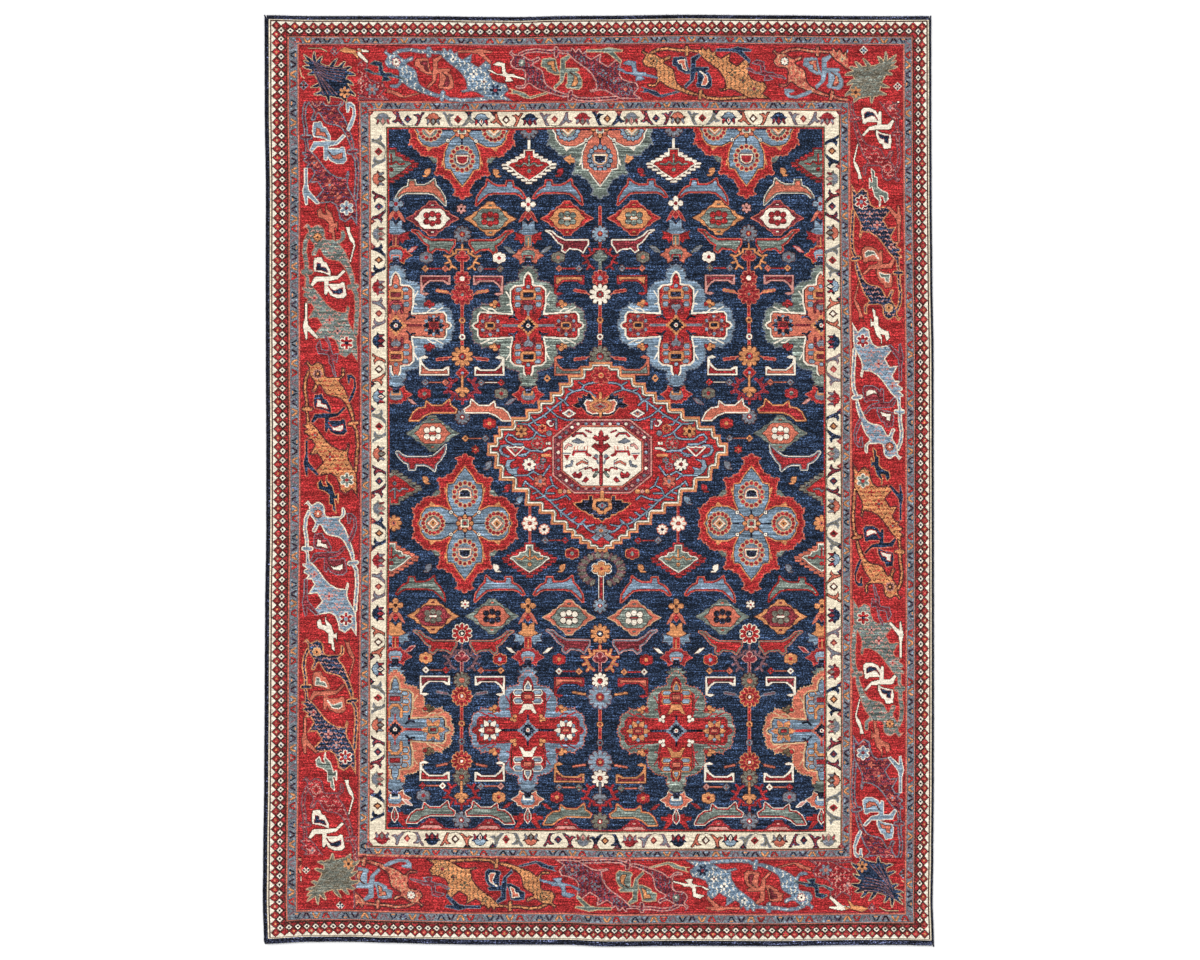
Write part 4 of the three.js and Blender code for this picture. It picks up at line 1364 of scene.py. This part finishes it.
for creature, rim in (
        (comb_backed, 0), (patch(steel, [(-27, 39), (-22, 42), (-15, 38), (-21, 37)]), 0.6),
        (line(crimson, 1.8, [(-26, 44), (-23, 47), (-16, 47), (-13, 44)]), 0.4),
        (line(burgundy, 2.2, [(-13, 50), (-8, 48)]), 0),
        (line(pink, 2.0, [(-34, 32), (-31, 36), (-28, 35)]), 0.5),
        (patch(crimson, [(-36, 26), (-29, 26), (-32, 20)]), 0),
        (line(steel, 1.8, [(-36, 27), (-29, 27)]), 0),
        (line(salmon, 1.6, [(-22, 16), (-17, 19), (-12, 17)]), 0.6),
        (line(steel, 2.0, [(-33, 14), (-28, 15), (-27, 19)]), 0.5),
        (line(night, 1.0, [(-15, 22), (-11, 19), (-11, 14), (-20, 10)]), 0),
        (patch(crimson, ROBIN), 0.4), (patch(crimson, [(-17, -1), (-13, 4), (-10, 1), (-13, -2)]), 0.4),
        (line(crimson, 1.8, [(-14, 11), (-9, 13), (-7, 12)]), 0)):
    if rim:
        creature = rimmed(night, creature, rim)
    knot(creature)
    knot(creature, 4, 0, flip=True)

# Below the medallion: a grey feathered ring round a small orange clover, and a red stem that
# runs down from it to a rosette.
FEATHER_RING = [(20 * math.cos(a), 14.5 * math.sin(a)) for a in np.radians(range(-68, 249, 12))]
CLOVER = four_quarters([(0, 7), (3, 6), (3, 3), (7, 4), (9, 2), (7, -1)])
feathers = line(moss, 3.6, FEATHER_RING)
for k, (x, y) in enumerate(FEATHER_RING):
    feathers += line((moss, mauve)[k % 2], 2.4, [(x * 0.86, y * 0.86), (x * 1.14, y * 1.16)])
knot(inked(feathers, 0.6), 2.5, -89)
for yarn, width in ((ivory, 4.8), (brown, 3.4), (crimson, 2.4)):
    knot(line(yarn, width, [(2, -93), (2, -122)]))
knot(rimmed(ivory, inked(patch(orange, CLOVER), 0.6), 0.7) + dot(crimson, 0, 0, 1.6), 2.5, -88)
knot(rosette(8, 7.0, sky, brown, crimson, ivory), 1, -125)

# The pile. Each run of knots of one yarn within a row is a strip of cut wool, and runs that stand
# exactly above each other grow together. Along the rim the outermost knots lean over and down.
UNEVEN_DYE = {blue: 2.2, sky: 1.8, teal: 2.2, indigo: 1.5, orange: 1.4, brown: 0.4}
yarn_materials = [yarn_material("wool_" + name, colour, streaks=UNEVEN_DYE.get(name, 1.0))
                  for name, colour in YARNS.items()]
PILE_PIECES = ("pile_outer_guards", "pile_main_border_left", "pile_inner_guards", "pile_field_left",
               "pile_field_right", "pile_main_border_right")
SEAM_X = 7.0
KINDS_OF_YARN = 32
KINDS_IN_PIECE = 128


def outermost(count):
    """How many knots each row or column lies from the rim, counted up to two."""
    place = np.arange(count)
    return np.minimum(np.minimum(place, count - 1 - place), 2)


piece_of_knot = np.zeros(knots.shape, dtype=np.int64)
for number, (left, lower, right, upper) in enumerate((*FRAMES["main"], FIELD, (SEAM_X, *FIELD[1:]))):
    inside_rows = (ROW_Y > lower) & (ROW_Y < upper)
    inside_columns = (COLUMN_X > left) & (COLUMN_X < right)
    piece_of_knot[inside_rows[:, None] & inside_columns[None, :]] = number + 1
right_border = (piece_of_knot == PILE_PIECES.index("pile_main_border_left")) & (COLUMN_X > SEAM_X)
piece_of_knot[right_border] = PILE_PIECES.index("pile_main_border_right")
from_rim = np.minimum(outermost(KNOT_ROWS)[:, None], outermost(KNOT_COLUMNS)[None, :])
kinds = knots.astype(np.int64) + KINDS_OF_YARN * from_rim + KINDS_IN_PIECE * piece_of_knot

# Runs are gathered row by row into rectangles (kind, first row, last line, first and last column).
# The long ones are parted every few knots, so that they bend with the uneven edges of the cloth.
LONG_RUN = 16
rectangles = []
growing = {}
for row in range(KNOT_ROWS + 1):
    runs = set()
    if row < KNOT_ROWS:
        changes = np.flatnonzero(np.diff(kinds[row])) + 1
        starts = [0, *changes.tolist()]
        for start, end, kind in zip(starts, [*starts[1:], KNOT_COLUMNS], kinds[row, starts].tolist()):
            parts = [start, end]
            if end - start > 2 * LONG_RUN:
                parts[1:1] = range(start - start % LONG_RUN + LONG_RUN, end, LONG_RUN)
            runs.update((a, b, kind) for a, b in zip(parts, parts[1:]))
    ended = growing.keys() - runs
    if row % LONG_RUN == 0:
        ended |= {run for run, first in growing.items() if row - first >= LONG_RUN}
    for run in ended:
        rectangles.append((run[2], growing.pop(run), row, run[0], run[1]))
    for run in runs - growing.keys():
        growing[run] = row
rectangles.sort()
on_line = [set() for _ in range(KNOT_ROWS + 1)]
on_column = [set() for _ in range(KNOT_COLUMNS + 1)]
for _, low_line, high_line, left_column, right_column in rectangles:
    for line_number in (low_line, high_line):
        on_line[line_number].update((left_column, right_column))
    for column_number in (left_column, right_column):
        on_column[column_number].update((low_line, high_line))
on_line = [sorted(places) for places in on_line]
on_column = [sorted(places) for places in on_column]
CORNERS_ACROSS = KNOT_COLUMNS + 1


def between(places, low, high):
    return places[bisect.bisect_right(places, low):bisect.bisect_left(places, high)]


def strip_of_wool(low_line, high_line, left_column, right_column):
    """Triangles over one rectangle that meet its neighbours at each of their corners."""
    def along(row):
        return [row * CORNERS_ACROSS + c for c in between(on_line[row], left_column, right_column)]

    def up(column):
        return [r * CORNERS_ACROSS + column for r in between(on_column[column], low_line, high_line)]

    def progress(corner):
        r, c = divmod(corner, CORNERS_ACROSS)
        return (c - left_column) * per_column + (r - low_line) * per_line

    per_column, per_line = 1 / (right_column - left_column), 1 / (high_line - low_line)
    lower = [*along(low_line), low_line * CORNERS_ACROSS + right_column, *up(right_column)]
    upper = [*up(left_column), high_line * CORNERS_ACROSS + left_column, *along(high_line)]
    triangles = [(low_line * CORNERS_ACROSS + left_column, lower[0], upper[0])]
    i = j = 0
    while i + 1 < len(lower) or j + 1 < len(upper):
        above_done = j + 1 == len(upper)
        if above_done or (i + 1 < len(lower) and progress(lower[i + 1]) <= progress(upper[j + 1])):
            triangles.append((lower[i], lower[i + 1], upper[j]))
            i += 1
        else:
            triangles.append((lower[i], upper[j + 1], upper[j]))
            j += 1
    triangles.append((lower[i], high_line * CORNERS_ACROSS + right_column, upper[j]))
    return triangles


knot_width = 2 * (WIDTH / 2 - CORD_WIDTH - SEAM_GAP) / KNOT_COLUMNS
knot_length = LENGTH / KNOT_ROWS
rim_fall = np.array([PILE_HEIGHT - RIM_HEIGHT, 0.0004, 0.0])
for number, piece_name in enumerate(PILE_PIECES):
    triangles, yarn_of_triangle = [], []
    for kind, *edges in rectangles:
        if kind // KINDS_IN_PIECE == number:
            strip = strip_of_wool(*edges)
            triangles += strip
            yarn_of_triangle += [kind % KINDS_OF_YARN] * len(strip)
    corners, triangles = np.unique(np.array(triangles), return_inverse=True)
    row, column = corners // CORNERS_ACROSS, corners % CORNERS_ACROSS
    x = (column - KNOT_COLUMNS / 2) * knot_width
    y = (row - KNOT_ROWS / 2) * knot_length
    inwards = np.minimum(outermost(KNOT_ROWS + 1)[row], outermost(KNOT_COLUMNS + 1)[column])
    vertices = np.column_stack([laid_out(x, y), PILE_HEIGHT - rim_fall[inwards]])
    piece = make_piece(piece_name, vertices, triangles.reshape(-1, 3), yarn_materials,
                       yarn_of_triangle)
    spot = vertices[:, :2]
    spot = (spot - spot.min(0)) / (spot.max(0) - spot.min(0))
    chart = piece.data.uv_layers.new(name="OFBake")
    chart.data.foreach_set("uv", spot[triangles.ravel()].astype(np.float32).ravel())

# The selvedges. The outermost warps of each long side are bundled and overcast with navy wool,
# turn beside turn, and the cut ends of the bundle thin out and splay at the corners.
selvedge_wool = yarn_material("wool_selvedge", YARNS[night], streaks=0.3, grain=0.6, ribs=0.0)
TURN_PITCH = 0.0045
BETWEEN_TURNS = 0.88
TURN_LEAN = 0.0011
CORD_HEIGHT = 0.0092
CORD_MIDDLE = 0.0047
CORD_SIDES = 10
TAIL_LENGTH = 0.014
TAIL_THINNING = 0.45
TAIL_PAST = {"left": (0.0005, 0.002), "right": (0.005, 0.002)}
TAIL_SPLAY = {"left": (-0.002, 0.005), "right": (0.003, 0.003)}
stations = 2 * round(LENGTH / TURN_PITCH) + 1
for side_name, outward in (("left", -1), ("right", 1)):
    vertices = []
    for i in range(stations):
        y = (i / (stations - 1) - 0.5) * LENGTH
        end = 0 if y < 0 else 1
        tail = max(0.0, (abs(y) - LENGTH / 2 + TAIL_LENGTH) / TAIL_LENGTH)
        px, py = laid_out(outward * (WIDTH / 2 - CORD_WIDTH / 2), y)
        px += outward * TAIL_SPLAY[side_name][end] * tail ** 2
        py += (1 if end else -1) * TAIL_PAST[side_name][end] * tail
        slack = 0.0004 * math.sin(i * 0.37) + 0.0003 * math.sin(i * 0.131 + 2)
        size = (1 - TAIL_THINNING * tail) * (1.0 if i % 2 else BETWEEN_TURNS)
        for k in range(CORD_SIDES):
            around = (k + 0.5) / CORD_SIDES * 2 * math.pi
            vertices.append((px + (CORD_WIDTH / 2 * size + slack * 0.5) * math.sin(around),
                             py + TURN_LEAN * math.cos(around) * (1 - tail),
                             CORD_MIDDLE + CORD_HEIGHT / 2 * size * math.cos(around)))
    lowest = min(v[2] for v in vertices)
    vertices = [(x, y, z - lowest) for x, y, z in vertices]
    faces = [list(range(CORD_SIDES)),
             [(stations - 1) * CORD_SIDES + k for k in reversed(range(CORD_SIDES))]]
    for i in range(stations - 1):
        for k in range(CORD_SIDES):
            a, b = i * CORD_SIDES + k, i * CORD_SIDES + (k + 1) % CORD_SIDES
            faces.append([a, a + CORD_SIDES, b + CORD_SIDES, b])
    cord = make_piece("overcast_" + side_name, vertices, faces, [selvedge_wool],
                      smooth=True)
    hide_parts("selvedge_" + side_name)

# The two ends. The last wefts are turned under and only a thin fuzz of navy wool and the clipped
# tips of the warps stand past them.
fray_wool = yarn_material("wool_fray", (0.17, 0.21, 0.33), streaks=0.0, grain=1.0, ribs=0.0)
FIBRES = 900
ROOT_DEPTH = 0.001
FIBRE_THICKNESS = ((0.0, 0.0005), (0.6, 0.0004), (1.0, 0.0001))
FLOOR_GAP = 0.0002
for end_name, outward in (("lower", -1), ("upper", 1)):
    chance = np.random.default_rng(11 if outward > 0 else 12)
    vertices, faces = [], []
    for i in range(FIBRES):
        x = (chance.random() - 0.5) * (WIDTH - 0.01)
        reach = 0.0012 + 0.0034 * chance.random() ** 2
        lean = (chance.random() - 0.5) * 0.004
        px, py = laid_out(x, outward * (LENGTH / 2 - ROOT_DEPTH))
        z = 0.002 + 0.006 * chance.random()
        start = len(vertices)
        for t, thick in FIBRE_THICKNESS:
            for k in range(3):
                around = k / 3 * 2 * math.pi
                vertices.append((px + lean * t * t + thick * math.sin(around),
                                 py + outward * (ROOT_DEPTH + reach) * t,
                                 max(z * (1 - 0.4 * t) + thick * math.cos(around), FLOOR_GAP)))
        for r in (0, 3):
            for k in range(3):
                a, b = start + r + k, start + r + (k + 1) % 3
                faces.append([a, a + 3, b + 3, b] if outward < 0 else [b, b + 3, a + 3, a])
    make_piece("fray_" + end_name, vertices, faces, [fray_wool])

# The studio. The rug lies on a pale seamless floor under one wide soft light with a little more
# from the upper left, and is seen from straight above with its length running up the picture.
FLOOR_HALF = 60
FLOOR_DROP = 0.0002
floor_mesh = bpy.data.meshes.new("studio_floor")
floor_corners = [(x, y, -FLOOR_DROP) for x, y in block(-FLOOR_HALF, -FLOOR_HALF, FLOOR_HALF, FLOOR_HALF)]
floor_mesh.from_pydata(floor_corners, [], [(0, 1, 2, 3)])
floor = bpy.data.objects.new("studio_floor", floor_mesh)
bpy.context.scene.collection.objects.link(floor)
paper = bpy.data.materials.new("seamless_paper")
paper.use_nodes = True
surface = paper.node_tree.nodes["Principled BSDF"].inputs
surface["Base Color"].default_value = (0.95, 0.95, 0.955, 1)
surface["Roughness"].default_value = 1.0
surface["Specular IOR Level"].default_value = 0.0
floor_mesh.materials.append(paper)

world = bpy.data.worlds.new("studio")
world.use_nodes = True
sky_light = world.node_tree.nodes["Background"].inputs
sky_light["Color"].default_value = (1.0, 1.0, 1.0, 1)
sky_light["Strength"].default_value = 0.97
bpy.context.scene.world = world
lamp = bpy.data.lights.new("window", "SUN")
lamp.energy = 1.2
lamp.angle = math.radians(35)
window = bpy.data.objects.new("window", lamp)
window.rotation_euler = (math.radians(-35), math.radians(-30), 0)
bpy.context.scene.collection.objects.link(window)

SQUARE = WIDTH / 2 / HALF_ACROSS
VIEW_WIDTH = 1200 * SQUARE
LENS = 100
FILM_WIDTH = 36
camera_data = bpy.data.cameras.new("camera")
camera_data.lens = LENS
camera_data.sensor_width = FILM_WIDTH
camera_data.clip_end = 200
camera = bpy.data.objects.new("camera", camera_data)
camera.location = (middle_x + 0.95 * SQUARE, middle_y + 0.35 * SQUARE,
                   PILE_HEIGHT + VIEW_WIDTH * LENS / FILM_WIDTH)
bpy.context.scene.collection.objects.link(camera)
bpy.context.scene.camera = camera
bpy.context.scene.view_settings.view_transform = "Standard"
